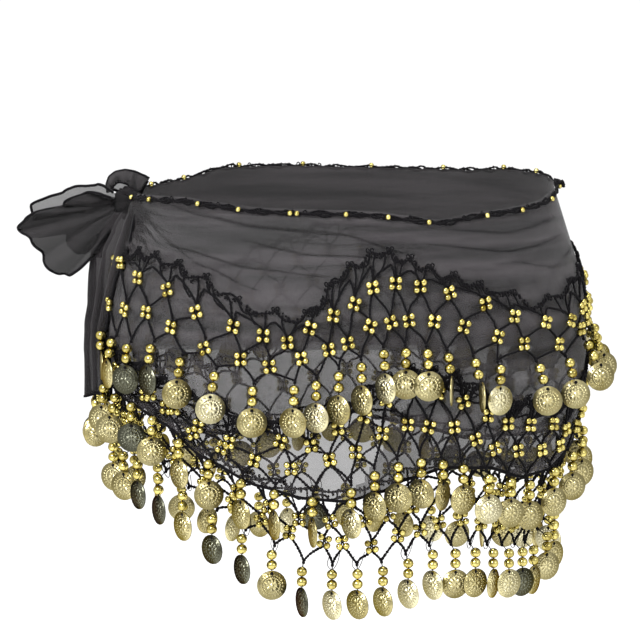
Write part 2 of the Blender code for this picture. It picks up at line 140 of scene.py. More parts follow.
def edgeHeight(name, angle):
    turned = angle + 360 if angle < -90 else angle
    return tableValue(form["stations"], turned, 1 + form["edges"].index(name), 0.5)


def onForm(angle, height, out):  # a point in metres, moved out square to the form
    halfWidth = tableValue(form["rows"], height, 1, 0)
    halfDepth = tableValue(form["rows"], height, 2, 0)
    turn = radians(angle)
    nx, ny = halfDepth * sin(turn), -halfWidth * cos(turn)
    size = hypot(nx, ny)
    x, y = halfWidth * sin(turn) + out * nx / size, -halfDepth * cos(turn) + out * ny / size
    return Vector((x, y, height)) * mm


def turnOf(length, angle):  # degrees that a short length takes up
    halfWidth, halfDepth = form["girth"]
    turn = radians(angle)
    return degrees(length / hypot(halfWidth * cos(turn), halfDepth * sin(turn)))


def finishPiece(piece, slot, *nodes):
    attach(piece, "root")
    if nodes:
        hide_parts(*nodes)
    return piece


def pieceFrom(bm, name, *materials):
    mesh = bpy.data.meshes.new(name)
    bm.to_mesh(mesh)
    bm.free()
    for material in materials:
        mesh.materials.append(material)
    mesh.shade_smooth()
    piece = bpy.data.objects.new(name, mesh)
    scene.collection.objects.link(piece)
    return piece


def addThickness(piece, thickness):
    wall = piece.modifiers.new("cloth thickness", "SOLIDIFY")
    wall.thickness = thickness * mm
    wall.offset = 0.0


# Chiffon: polyester georgette, plain woven from fine crepe threads. It is matt and sheer, so what
# lies behind shows through it, and it darkens with each layer.
chiffonLook = {
    "thread": "#1c1b1c",
    # a lighter thread colour, mixed in along the streaks as painted crease light
    "paintedCreaseLight": "#373436",
    "crepe": 0.9,          # mm between crepe threads, drawn four times coarser than real to show
    "streakLong": 142.86,  # mm, painted light and dark streaks along the drag of the cloth, the shading of its creases
    "streakWide": 10.526,
    "cover": 0.5,          # share of the light that one layer stops
    "roughness": 0.85,
    "gloss": 0.25,
    "sheen": 0.12,
}


def chiffonMaterial(name, layers, paintedLight=1.0):  # the last argument is painted light and shade: it scales the thread colours, gloss and sheen, below 1 for painted shade in folded and gathered pieces, above 1 for painted light on the doubled front
    # each layer of cloth is a wall with two faces, so a face stops the root of its share
    material, tree, shader = newMaterial(name, {
        "Roughness": chiffonLook["roughness"], "Specular IOR Level": chiffonLook["gloss"] * paintedLight,
        "Sheen Weight": chiffonLook["sheen"] * paintedLight, "Sheen Roughness": 0.5,
        "Alpha": 1 - (1 - chiffonLook["cover"]) ** (layers / 2)})
    place = addNode(tree, "ShaderNodeTexCoord")
    crepe, streakLong, streakWide = (1 / (chiffonLook[key] * mm)
                                     for key in ("crepe", "streakLong", "streakWide"))
    scaled = addNode(tree, "ShaderNodeMapping", {"Scale": (crepe, crepe, crepe)},
                     {"Vector": place.outputs["UV"]})
    weave = addNode(tree, "ShaderNodeTexBrick", {"offset": 0.5, "Scale": 1.0, "Mortar Size": 0.12},
                    {"Vector": scaled.outputs["Vector"]})
    # stretched noise that paints light and dark streaks into the colour, the shading of creases and folds
    drawn = addNode(tree, "ShaderNodeMapping", {"Scale": (streakLong, streakWide, 1.0)},
                    {"Vector": place.outputs["UV"]})
    streak = addNode(tree, "ShaderNodeTexNoise",
                     {"Scale": 1.0, "Detail": 4.0, "Roughness": 0.6, "Distortion": 0.15},
                     {"Vector": drawn.outputs["Vector"]})
    tone = addNode(tree, "ShaderNodeMapRange", {"From Min": 0.4, "From Max": 0.62},
                   {"Value": streak.outputs["Fac"]})
    # the thread colours, scaled by the painted light and shade factor
    shades = [[c * paintedLight for c in colourOf(chiffonLook[key])[:3]] + [1.0]
              for key in ("thread", "paintedCreaseLight")]
    colour = addNode(tree, "ShaderNodeMix", {"data_type": "RGBA", 6: shades[0], 7: shades[1]},
                     {"Factor": tone.outputs["Result"]})
    bump = addNode(tree, "ShaderNodeBump", {"Strength": 0.25, "Distance": 0.0002},
                   {"Height": weave.outputs["Fac"]})
    joinShader(tree, shader, colour, bump)
    return material


# the last number is painted light and shade: above 1 lightens the doubled front, below 1 darkens the rolled
# band and the pleats as painted shade
chiffonSingle = chiffonMaterial("chiffon_single_layer", 1.5)
chiffonDouble = chiffonMaterial("chiffon_folded_double", 2.7, 1.1)
chiffonLapped = chiffonMaterial("chiffon_lapped_behind", 4)
chiffonBand = chiffonMaterial("chiffon_rolled_band", 5.5, 0.6)
chiffonPleated = chiffonMaterial("chiffon_pleated_at_knot", 1.8, 0.75)

hipCloth = {
    "columns": 330,
    "bands": (5, 16, 20),         # rows in the rolled band, the doubled part and the single part
    "thickness": 0.5,
    "out": 0.5,
    "threadLength": 2.55,         # mm round the form for one degree, for the weave
    "bandTall": ((-80, 6), (92, 9), (108, 26), (126, 34), (150, 38), (180, 39), (200, 38), (216, 34),
                 (234, 22), (252, 13), (268, 6)),
    "denseFrom": 14,              # the hanging part is gathered closer from here to the plain side
    "lap": (92.0, 172.0),         # the far half of the back is lapped over a second time
    "lapSlant": (0.16, 0.35),     # degrees that its two edges lean for each mm of height
    "foldLine": (-111.0, 17.5),   # height of the doubled part's lower edge: middle, tilt
    "sink": 1.7,                  # how many times deeper the creases are drawn than their tables say
    "creases": (                  # angle, height, length, tall, slope, depth
        (-66, -22, 34, 9, -0.55, 2.6), (-58, -50, 30, 11, -1.1, 2.2), (-30, -24, 44, 8, -0.25, 1.6),
        (12, -30, 50, 8, -0.12, 1.4), (52, -24, 36, 9, 0.2, 1.3), (122, -30, 46, 10, 0.1, 1.5),
        (180, -40, 60, 11, -0.1, 1.6), (238, -32, 44, 11, 0.5, 2.2),
    ),
    "pleats": (                   # height at the knot, slope, degrees long, width at the knot
        (-8, -0.15, 26, 8), (-12, -0.35, 30, 7), (-15, -0.6, 26, 8), (-19, -0.85, 24, 9), (-23, -1.1, 20, 10),
        (-28, -1.35, 17, 11), (-34, -1.6, 13, 12), (-10, -0.25, 18, 14), (-17, -0.7, 15, 18),
        (-25, -1.0, 13, 22), (-14, -0.45, 11, 24), (-28, -0.9, 9, 28), (-20, -0.5, 7, 36), (-36, -0.6, 6, 22),
    ),
    "pleatRidge": 2.4,
    "tuckRidge": 0.8,
    "tucks": (                    # narrow folded lines: width, then angles and heights
        (2.0, ((-56, -3), (-40, -9), (-22, -15), (-3, -18), (18, -33))),
        (1.4, ((-62, -20), (-44, -32), (-22, -42), (-4, -46))),
        (1.1, ((-50, -30), (-36, -42), (-20, -56))), (1.2, ((-28, -24), (-8, -32), (10, -34))),
        (1.3, ((26, -17), (46, -21), (72, -15))), (1.6, ((20, -26), (44, -33), (74, -27))),
        (1.1, ((44, -40), (60, -46), (80, -38))), (1.4, ((110, -24), (140, -32), (176, -30))),
        (1.2, ((150, -46), (180, -52), (214, -44))), (1.5, ((206, -22), (232, -28), (262, -22))),
        (1.1, ((196, -60), (224, -66), (250, -54))),
    ),
    "drags": (                    # fine drag lines from the knot: the same columns
        (-64, -30, 30, 3.2, -0.8, 1.1), (-50, -33, 40, 3.6, -0.45, 1.0), (-44, -20, 50, 3.0, -0.2, 0.9),
        (-26, -40, 40, 3.4, -0.35, 0.8), (-8, -22, 44, 3.0, 0.05, 0.8), (20, -20, 40, 3.0, 0.1, 0.8),
        (38, -30, 36, 3.2, 0.25, 0.9), (58, -14, 30, 3.0, 0.15, 0.8), (66, -36, 30, 3.4, 0.3, 0.8),
        (150, -24, 50, 3.4, 0.1, 0.9), (205, -26, 50, 3.4, -0.1, 0.9), (244, -18, 34, 3.2, 0.4, 1.1),
    ),
}


def sunk(angle, height):  # how far the creases sink the cloth
    depth = 0.0
    for middle, level, length, tall, slope, deep in hipCloth["creases"] + hipCloth["drags"]:
        along = (angle - middle) / (0.5 * length)
        across = (height - level - slope * (angle - middle)) / tall
        if abs(along) < 1 and abs(across) < 2:
            depth += hipCloth["sink"] * deep * (1 - along * along) ** 2 * cos(pi * across / 4) ** 2
    return depth


def clothLevels(angle):
    rim, hem = edgeHeight("rim", angle), edgeHeight("hem", angle)
    middle, tilt = hipCloth["foldLine"]
    fold = max(middle + tilt * cos(radians(angle)), hem + 12)
    return rim, rim - tableValue(hipCloth["bandTall"], angle, 1, 0.5), fold, hem


def addFold(bm, uvs, line, widthOf, ridge):  # a narrow fold of the cloth along (angle, height) spots
    strip = bmesh.ops.create_grid(bm, x_segments=24, y_segments=4, size=0.5)["verts"]
    for vert in strip:
        share, side = min(1.0, max(0.0, vert.co.x + 0.5)), 2 * vert.co.y
        angle = line[0][0] + (line[-1][0] - line[0][0]) * share
        level = tableValue(line, angle, 1, 0.6)
        width = widthOf(share) + 0.12
        rise = min(ridge, 0.5 * width) * (1 - side * side)
        vert.co = onForm(angle, level + width * side / 2, 0.9 + rise - sunk(angle, level))
    for face in {face for vert in strip for face in vert.link_faces}:
        face.material_index = 4
        for loop in face.loops:
            loop[uvs].uv = (loop.vert.co.x, loop.vert.co.z)


def makeHipCloth():
    bands = hipCloth["bands"]
    columns, rows = hipCloth["columns"], sum(bands)
    start, end = form["clothEnds"]
    bm = bmesh.new()
    bmesh.ops.create_grid(bm, x_segments=columns, y_segments=rows, size=0.5)
    uvs = bm.loops.layers.uv.new("cloth")
    places = {}
    for vert in bm.verts:
        across, down = round((vert.co.x + 0.5) * columns), round((0.5 - vert.co.y) * rows)
        angle = start + (end - start) * across / columns
        levels = clothLevels(angle)
        band = 0
        while band < 2 and down > sum(bands[:band + 1]):
            band += 1
        share = (down - sum(bands[:band])) / bands[band]
        height = levels[band] + (levels[band + 1] - levels[band]) * share
        places[vert.index] = (angle, height, down)
        vert.co = onForm(angle, height, hipCloth["out"] - sunk(angle, height))
    for face in bm.faces:
        angle = sum(places[v.index][0] for v in face.verts) / 4
        down = sum(places[v.index][2] for v in face.verts) / 4
        band = 0 if down < bands[0] else 1 if down < bands[0] + bands[1] else 2
        height = sum(places[v.index][1] for v in face.verts) / 4
        lapStart = hipCloth["lap"][0] - hipCloth["lapSlant"][0] * height
        lapEnd = hipCloth["lap"][1] + hipCloth["lapSlant"][1] * (height + 60)
        if band == 2:
            denseFrom = hipCloth["denseFrom"] + 0.2 * (height + 130)
            face.material_index = 1 if denseFrom < angle < 90 else 0
        elif angle < lapStart or band == 1 and angle > lapEnd:
            face.material_index = 1
        else:
            face.material_index = 3 if band == 0 else 2
        for loop in face.loops:
            at = places[loop.vert.index]
            loop[uvs].uv = (at[0] * hipCloth["threadLength"] * mm, at[1] * mm)
    bmesh.ops.recalc_face_normals(bm, faces=bm.faces)
    for height, slope, length, tall in hipCloth["pleats"]:
        line = [(start + length * s, height + slope * length * s) for s in (0, 0.5, 1)]
        addFold(bm, uvs, line, lambda share: tall * (1 - share) ** 1.3, hipCloth["pleatRidge"])
    for width, line in hipCloth["tucks"]:
        addFold(bm, uvs, line, lambda share: width * sin(pi * share) ** 0.6, hipCloth["tuckRidge"])
    return pieceFrom(bm, "hip_cloth", chiffonSingle, chiffonDouble, chiffonLapped, chiffonBand,
                     chiffonPleated)


clothPiece = makeHipCloth()
addThickness(clothPiece, hipCloth["thickness"])
finishPiece(clothPiece, "chiffon", "chiffon_front", "chiffon_back")
print("chiffon made")


# Thread: black acrylic yarn, chained with a hook, so two plies wind round each other. It is matt
# and near black, and its fibres only show as a slight grain.
yarnLook = {
    "yarn": "#070608",
    "fuzz": "#141315",
    "fibre": 1.111,      # mm between lumps of fibre, coarser than real to show
    "roughness": 0.9,
    "gloss": 0.03,
    "sheen": 0.04,
    "plyRadius": 0.6,
    "plyApart": 0.5,
    "lumps": (0.85, 1.45, 1.1),  # a chain stitch swells every third point
    "twist": 3.4,        # mm for one turn of the plies
    "step": 0.95,        # mm between the points of a ply
}
rng = random.Random(7)


def yarnMaterial():
    material, tree, shader = newMaterial("crochet_yarn", {
        "Roughness": yarnLook["roughness"], "Specular IOR Level": yarnLook["gloss"],
        "Sheen Weight": yarnLook["sheen"]})
    place = addNode(tree, "ShaderNodeTexCoord")
    fibre = addNode(tree, "ShaderNodeTexNoise", {"Scale": 1 / (yarnLook["fibre"] * mm), "Detail": 2.0},
                    {"Vector": place.outputs["Object"]})
    colour = addNode(tree, "ShaderNodeMix",
                     {"data_type": "RGBA", 6: colourOf(yarnLook["yarn"]), 7: colourOf(yarnLook["fuzz"])},
                     {"Factor": fibre.outputs["Fac"]})
    bump = addNode(tree, "ShaderNodeBump", {"Strength": 0.6, "Distance": 0.0003},
                   {"Height": fibre.outputs["Fac"]})
    joinShader(tree, shader, colour, bump)
    return material


yarn = yarnMaterial()


def smoothPath(points, step):  # even points along a soft curve through the given ones
    if len(points) < 3:
        inner = list(points)
    else:
        inner = []
        for i in range(len(points) - 1):
            a, b = points[max(0, i - 1)], points[i]
            c, d = points[i + 1], points[min(len(points) - 1, i + 2)]
            for k in range(4):
                t = k / 4
                inner.append(0.5 * (2 * b + (c - a) * t + (2 * a - 5 * b + 4 * c - d) * t * t
                                    + (3 * b - a - 3 * c + d) * t ** 3))
        inner.append(points[-1])
    lengths = [0.0]
    for a, b in zip(inner, inner[1:]):
        lengths.append(lengths[-1] + (b - a).length)
    count = max(2, round(lengths[-1] / step) + 1)
    even, k = [], 0
    for i in range(count):
        want = lengths[-1] * i / (count - 1)
        while k < len(inner) - 2 and lengths[k + 1] < want:
            k += 1
        span = max(1e-9, lengths[k + 1] - lengths[k])
        even.append(inner[k].lerp(inner[k + 1], (want - lengths[k]) / span))
    return even


def plies(spots, out, size=1.0):  # two plies along (angle, height) spots on the form
    points = [onForm(angle, height, out) for angle, height in spots]
    path = smoothPath(points, yarnLook["step"] * mm)
    phase = rng.uniform(0, 2 * pi)
    apart, twist = yarnLook["plyApart"] * size * mm, yarnLook["twist"] * size * mm
    pair, along = ([], []), 0.0
    for i, point in enumerate(path):
        ahead = (path[min(i + 1, len(path) - 1)] - path[max(i - 1, 0)]).normalized()
        outward = Vector((point.x, point.y * 2.0, 0)).normalized()
        side = ahead.cross(outward).normalized()
        if i:
            along += (point - path[i - 1]).length
        turn = phase + 2 * pi * along / twist
        shift = side * (apart * cos(turn)) + outward * (apart * sin(turn))
        pair[0].append(point + shift)
        pair[1].append(point - shift)
    return pair


def threadPiece(name, groups, lumps=(1.0, 1.0, 1.0)):  # groups: (radius in mm, point lists)
    meshes = []
    for radius, paths in groups:
        curve = bpy.data.curves.new(name, "CURVE")
        curve.dimensions = "3D"
        curve.bevel_depth = radius * mm
        curve.bevel_resolution = 0
        curve.use_fill_caps = True
        for path in paths:
            spline = curve.splines.new("POLY")
            spline.points.add(len(path) - 1)
            spline.points.foreach_set("co", [c for p in path for c in (*p, 1.0)])
            spline.points.foreach_set("radius", [lumps[i % 3] for i in range(len(path))])
        holder = bpy.data.objects.new(name, curve)
        meshes.append(bpy.data.meshes.new_from_object(holder))
        bpy.data.objects.remove(holder)
    bm = bmesh.new()
    for mesh in meshes:
        bm.from_mesh(mesh)
        bpy.data.meshes.remove(mesh)
    return pieceFrom(bm, name, yarn)


def repeated(name, template, places, *materials, slots=None):  # copies of a small mesh in one piece
    bm = bmesh.new()
    for index, place in enumerate(places):
        copy = template.copy()
        copy.transform(place)
        if slots:
            copy.polygons.foreach_set("material_index", [slots[index]] * len(copy.polygons))
        bm.from_mesh(copy)
        bpy.data.meshes.remove(copy)
    return pieceFrom(bm, name, *materials)


# Crochet nets: in each tier the chains rise from the dangles to a lower and an upper row of bead
# clusters, and end in a scalloped edge of shell stitches with picots.
nets = {
    "frontColumns": {
        1: ((0, -74), (2, -58), (6, -21), (7, -11.5), (14, 22.7), (16, 36), (19, 72.6), (20, 82)),
        2: ((0, -74), (3, -49.6), (7, -17.3), (9, 1.1), (14, 27.9), (17, 50.6), (19, 70.7), (20, 81)),
        3: ((0, -74), (4, -43.8), (9, -3.8), (14, 30), (19, 62.4), (21, 81.5)),
    },
    "backColumns": {1: 21, 2: 21, 3: 20},
    "backLevels": {1: (0.28, 0.64), 2: (0.33, 0.64), 3: (0.26, 0.58)},
    "middles": {         # front: column, angle and share of the tier's height of the upper clusters
        1: ((0, -76, 0.95), (1, -70, 0.93), (2, -58, 0.73), (3, -46, 0.67), (4, -36, 0.59), (5, -26, 0.68),
            (6, -19, 0.69), (7, -13, 0.63), (8, -8, 0.78), (9, -3, 0.64), (10, 2, 0.62), (11, 6, 0.66),
            (12, 11, 0.69), (13, 17, 0.73), (14, 24, 0.81), (15, 33, 0.78), (16, 41, 0.68), (17, 52, 0.69),
            (18, 64, 0.5), (19, 73, 0.5), (20, 82, 0.45)),
        2: ((0, -74, 0.5), (4, -43, 0.5), (5, -36, 0.49), (6, -28, 0.46), (7, -15, 0.69), (8, -8, 0.65),
            (9, -2, 0.73), (10, 4, 0.71), (11, 9, 0.77), (13, 21, 0.79), (14, 27, 0.72), (15, 34, 0.72),
            (16, 40, 0.67), (17, 48, 0.7), (18, 58, 0.65), (19, 66, 0.45), (20, 78, 0.45)),
        3: ((0, -74, 0.5), (4, -45, 0.5), (5, -37, 0.53), (9, -4, 0.58), (10, 5, 0.55), (12, 17, 0.53),
            (13, 25, 0.67), (14, 32, 0.65), (15, 39, 0.63), (16, 43, 0.66), (17, 47, 0.69), (18, 56, 0.6),
            (21, 81, 0.55)),
    },
    "lowers": {          # the same for the lower clusters, which sit between the columns
        1: ((0, -77, 0.4), (1, -73, 0.36), (2, -62, 0.35), (3, -52, 0.35), (4, -43, 0.26), (5, -33, 0.19),
            (6, -24, 0.28), (7, -17, 0.24), (8, -10, 0.36), (9, -4, 0.27), (10, 0, 0.25), (11, 5, 0.29),
            (12, 10, 0.26), (13, 14, 0.27), (14, 20, 0.34), (15, 27, 0.36), (16, 36, 0.36), (17, 44, 0.29),
            (18, 57, 0.21), (19, 70, 0.2), (20, 77, 0.25)),
        2: ((0, -77, 0.3), (6, -30, 0.3), (7, -22, 0.33), (8, -13, 0.31), (9, -4, 0.37), (10, 2, 0.36),
            (12, 14, 0.36), (13, 19, 0.35), (14, 25, 0.37), (15, 31, 0.33), (16, 37, 0.31), (17, 45, 0.34),
            (18, 54, 0.33), (19, 64, 0.25), (20, 75, 0.25)),
        3: ((0, -77, 0.3), (8, -15, 0.31), (9, -6, 0.31), (10, -1, 0.28), (11, 7, 0.2), (12, 14, 0.23),
            (13, 20, 0.22), (14, 25, 0.24), (15, 32, 0.29), (16, 39, 0.23), (18, 53, 0.24), (21, 77, 0.25)),
    },
    "seam": 87.0,        # angle where the rows of the front meet those behind
    "out": {1: 2.5, 2: 2.5, 3: -1.25},          # mm that each tier stands off the form
    "chainOut": {1: 2.8, 2: 2.8, 3: -0.75},
    "lap": 7.0,          # how far the last tier reaches up over the hem
    "picot": {1: 3.0, 2: 3.0, 3: 0.0},
    "gapTop": {1: 0.9, 2: 0.84, 3: 0.84},       # where the open net ends, as a share of the tier
    "post": 3.4,         # half height of a bead cluster, between two chains
    "wobble": 0.7,       # mm that a spot may be off
    "yarnSize": {1: 0.82, 2: 0.92, 3: 1.0},     # share of the yarn's full size
    "edgeSize": {1: 0.75, 2: 0.9, 3: 0.9},      # the same along the scallops
    "thin": 0.45,        # radius of the paired threads beside a cluster
    "fans": {1: 2, 2: 4, 3: 2},   # stitches that spread from each cluster up to the edge
    "nubs": {1: 5, 2: 5, 3: 3},   # little lumps of yarn on each half of a scallop
    "nubDeep": {1: 2, 2: 4, 3: 4},              # mm that they reach below the edge
    "closed": (12, 92),  # angles where the second tier is worked closer
    "closedFans": 4,     # more stitches in each shell there
    "looseRadius": 0.28,          # of the threads that hang free
}


def columnsOf(tier):  # angles of the dangles all round, and of the points between them
    rows = nets["frontColumns"][tier]
    front = [tableValue(rows, index, 1, 0) for index in range(rows[-1][0] + 1)]
    count, seam, end = nets["backColumns"][tier], nets["seam"], form["netEnds"][1]
    step = (end - seam) / count
    columns = front + [seam + step * (index + 0.5) for index in range(count)]
    mids = [0.5 * (a + b) for a, b in zip(columns, columns[1:])]
    mids[len(front) - 1] = seam
    return columns, [form["netEnds"][0]] + mids + [end]


def tierLevels(tier, angle):
    valley = edgeHeight(f"low{tier}", angle)
    top = edgeHeight("hem", angle) + nets["lap"] if tier == 3 else edgeHeight(f"top{tier}", angle)
    return valley, valley + nets["gapTop"][tier] * (top - valley), top


def clusterSpot(tier, row, index, angle, front):  # angle and height of a cluster
    rows = nets["middles" if row else "lowers"][tier]
    share = nets["backLevels"][tier][row]
    if front:
        angle, share = tableValue(rows, index, 1, 0), tableValue(rows, index, 2, 0)
    valley, _, top = tierLevels(tier, angle)
    return angle, valley + share * (top - valley)


def wobbled(angle, height, amount=nets["wobble"]):
    return angle + turnOf(rng.uniform(-amount, amount), angle), height + rng.uniform(-amount, amount)


def arch(low, high, bulge):  # a chain between two spots that rises steeply from the low one
    (a, h), (b, k) = low, high
    return [low, wobbled(a + 0.3 * (b - a), h + (0.3 + bulge) * (k - h)),
            wobbled(a + 0.65 * (b - a), h + (0.65 + bulge) * (k - h)), high]


def makeNet(tier):
    columns, mids = columnsOf(tier)
    out, chainOut, post = nets["out"][tier], nets["chainOut"][tier], nets["post"]
    thick, thin, clusters, nubs = [], [], [], []

    def chain(spots, away=out, size=1.0):
        thick.extend(plies(spots, away, size * nets["yarnSize"][tier]))

    def paired(angle, height):  # two thin threads beside a cluster
        for side in (-0.9, 0.9):
            shift = turnOf(side, angle)
            thin.append([onForm(angle + shift * s, height + h, out) for s, h in ((1, -post), (0.5, post))])

    levelsAt = {a: tierLevels(tier, a) for a in columns + mids}
    frontCount = nets["middles"][tier][-1][0] + 1
    lowers = [wobbled(*clusterSpot(tier, 0, i, mid, i < frontCount)) for i, mid in enumerate(mids)]
    middles = [wobbled(*clusterSpot(tier, 1, i, column, i < frontCount)) for i, column in enumerate(columns)]
    tops = []
    for index, mid in enumerate(mids):
        lower, gapTop, top = lowers[index], levelsAt[mid][1], levelsAt[mid][2]
        peak = top + nets["picot"][tier]
        tops.append((mid, peak))
        paired(*lower)
        if 0 < index < len(mids) - 1:
            clusters.append((*lower, out))
        if index < len(columns):
            middle, column = middles[index], columns[index]
            valley, columnTop = levelsAt[column][0], levelsAt[column][2]
            nextLower, nextMid = lowers[index + 1], mids[index + 1]
            nextGap = levelsAt[nextMid][1]
            clusters.append((*middle, out))
            paired(*middle)
            foot = (column, valley)
            chain(arch(foot, (lower[0], lower[1] - post), 0.08), chainOut)
            chain(arch(foot, (nextLower[0], nextLower[1] - post), 0.08), chainOut)
            bottom = (middle[0], middle[1] - post)
            chain(arch((lower[0], lower[1] + post), bottom, 0.06))
            chain(arch((nextLower[0], nextLower[1] + post), bottom, 0.06))
            root = (middle[0], middle[1] + post)
            chain(arch(root, (mid, gapTop), 0.1))
            chain(arch(root, (nextMid, nextGap), 0.1))
            dip = columnTop - 1.5
            nextPeak = levelsAt[nextMid][2] + nets["picot"][tier]
            edge = ((mid, peak), (column, dip), (nextMid, nextPeak))
            for end in (mid, nextMid):
                spots = [edge[0] if end == mid else edge[2],
                         wobbled(0.6 * end + 0.4 * column, dip + 0.8), edge[1]]
                chain(spots if end == mid else spots[::-1], size=nets["edgeSize"][tier])
            closer = tier == 2 and nets["closed"][0] < column < nets["closed"][1]
            fans = nets["fans"][tier] + (nets["closedFans"] if closer else 0)
            for k in range(fans):  # the shell of stitches under the edge
                share = (k + 0.5) / fans
                spot = mid + (nextMid - mid) * share
                rim = tableValue(edge, spot, 1, 0.5)
                level = tableValue(((mid, gapTop), (middle[0], root[1]), (nextMid, nextGap)), spot, 1, 0)
                foot = 0.55 * middle[0] + 0.45 * spot
                start = 0.6 * root[1] + 0.4 * level + 0.5
                chain([wobbled(foot, start, 0.9),
                       wobbled(0.35 * foot + 0.65 * spot, 0.5 * (start + rim), 1.6),
                       (spot, rim - 0.4)], size=rng.uniform(0.5, 0.75) + (0.2 if closer else 0.0))
            if tier > 1:
                chain([wobbled(mid, gapTop + 0.55 * (peak - gapTop), 1.5),
                       wobbled(0.5 * (mid + column), 0.5 * (gapTop + dip), 1.5),
                       wobbled(column, root[1] + 0.65 * (dip - root[1]), 1.5),
                       wobbled(nextMid, nextGap + 0.55 * (nextPeak - nextGap), 1.5)], size=0.55)
            for k in range(nets["nubs"][tier] * 2):
                share = (k + rng.uniform(0.2, 0.8)) / (nets["nubs"][tier] * 2)
                spot = mid + (nextMid - mid) * share
                rim = tableValue(edge, spot, 1, 0.5)
                nubs.append((spot, rim + rng.uniform(-0.4, 1.0), out))
                nubs.append(wobbled(spot, rim - rng.uniform(0.3, nets["nubDeep"][tier])) + (out,))
    for angle, height in tops[1:-1]:  # picots: little loops on the peaks of the edge
        for shift, rise in ((-1.6, 1.2), (1.4, 1.5)):
            at = angle + turnOf(shift, angle)
            loop = [(at, height - 0.6), (at - turnOf(1.2, at), height + rise), (at, height + rise + 1.2),
                    (at + turnOf(1.2, at), height + rise), (at, height - 0.6)]
            thin.append(smoothPath([onForm(a, h, out) for a, h in loop], 0.8 * mm))
    groups = ((yarnLook["plyRadius"], thick), (nets["thin"], thin))
    piece = threadPiece(f"crochet_net_{tier}", groups, yarnLook["lumps"])
    return piece, clusters, columns, nubs


def looseLoops():  # threads that hang free at the foot of the last tier
    loops = []
    for index, angle in enumerate(tierColumns[3]):
        if index % 3 == 2:
            continue
        low, side = tierLevels(3, angle)[0], turnOf(rng.uniform(2.5, 4.5), angle)
        spots = [(angle - 0.6 * side, low + 5), (angle - side, low - 1), (angle, low - rng.uniform(3, 5.5)),
                 (angle + side, low + 1), (angle + 1.5 * side, low + 8)]
        loops.append(smoothPath([onForm(a, h, nets["out"][3] + 0.8) for a, h in spots], 1.2 * mm))
    return loops


netPieces, allClusters, allNubs, tierColumns = [], [], [], {}
for tier in (1, 2, 3):
    piece, clusters, tierColumns[tier], nubs = makeNet(tier)
    allNubs += nubs
    finishPiece(piece, "crochet", f"net_{tier}_front", f"net_{tier}_back")
    netPieces.append(piece)
    allClusters += clusters
    print(f"net {tier} made, {sum(len(p.vertices) - 2 for p in piece.data.polygons)} triangles")


# Gold: the beads are plastic, moulded and electroplated, so they are glossy with small sharp
# highlights. The coins are thin iron, stamped and plated with brass, satin and tarnished in places.
goldLook = {
    "bead": ("#dacd80", "#706128"),       # bright and worn colour
    "coin": ("#d6cda0", "#7d7140"),
    # paler coin colours: a painted highlight for coins that catch the light
    "paintedHighlightPale": ("#efe9cb", "#aca374"),
    "tarnished": ("#7b7c6c", "#34342a"),
    "edge": "#8f7a3c",    # what the metal gives back near the outline
    "beadRoughness": 0.13,
    "coinRoughness": 0.3,
    "beadWear": 6.25,     # mm between worn patches
    "coinWear": 16.667,
    "grit": 1.613,        # mm, coarser than real to show
}


def plated(name, shades, roughness, wearSize, detail):
    material, tree, shader = newMaterial(name, {
        "Metallic": 1.0, "Specular Tint": colourOf(goldLook["edge"]), "Roughness": roughness})
    place = addNode(tree, "ShaderNodeTexCoord")
    wear = addNode(tree, "ShaderNodeTexNoise", {"Scale": 1 / (wearSize * mm), "Detail": detail},
                   {"Vector": place.outputs["Object"]})
    share = addNode(tree, "ShaderNodeMapRange", {"From Min": 0.3, "From Max": 0.75},
                    {"Value": wear.outputs["Fac"]})
    colour = addNode(tree, "ShaderNodeMix",
                     {"data_type": "RGBA", 6: colourOf(shades[0]), 7: colourOf(shades[1])},
                     {"Factor": share.outputs["Result"]})
    tree.links.new(colour.outputs[2], shader.inputs["Base Color"])
    return material, tree, shader, place, colour, share


beadGold = plated("gold_plated_bead", goldLook["bead"], goldLook["beadRoughness"],
                  goldLook["beadWear"], 2.0)[0]

coinStamp = {
    "rings": (  # middle and width as shares of the radius, and how the height goes round
        (0.76, 0.09, "COSINE", 22.0, "MAXIMUM"),   # dots
        (0.34, 0.22, "COSINE", 4.0, "ABSOLUTE"),   # eight petals
        (0.58, 0.08, "SINE", 13.0, "ABSOLUTE"),    # small leaves
        (0.0, 0.16, "COSINE", 0.0, "MAXIMUM"),     # the heart of the flower
    ),
    "sunken": 0.45,      # how much darker the ground of the relief is
    "wear": 0.55,
    "grit": 0.2,
    "depth": 0.0009,
}


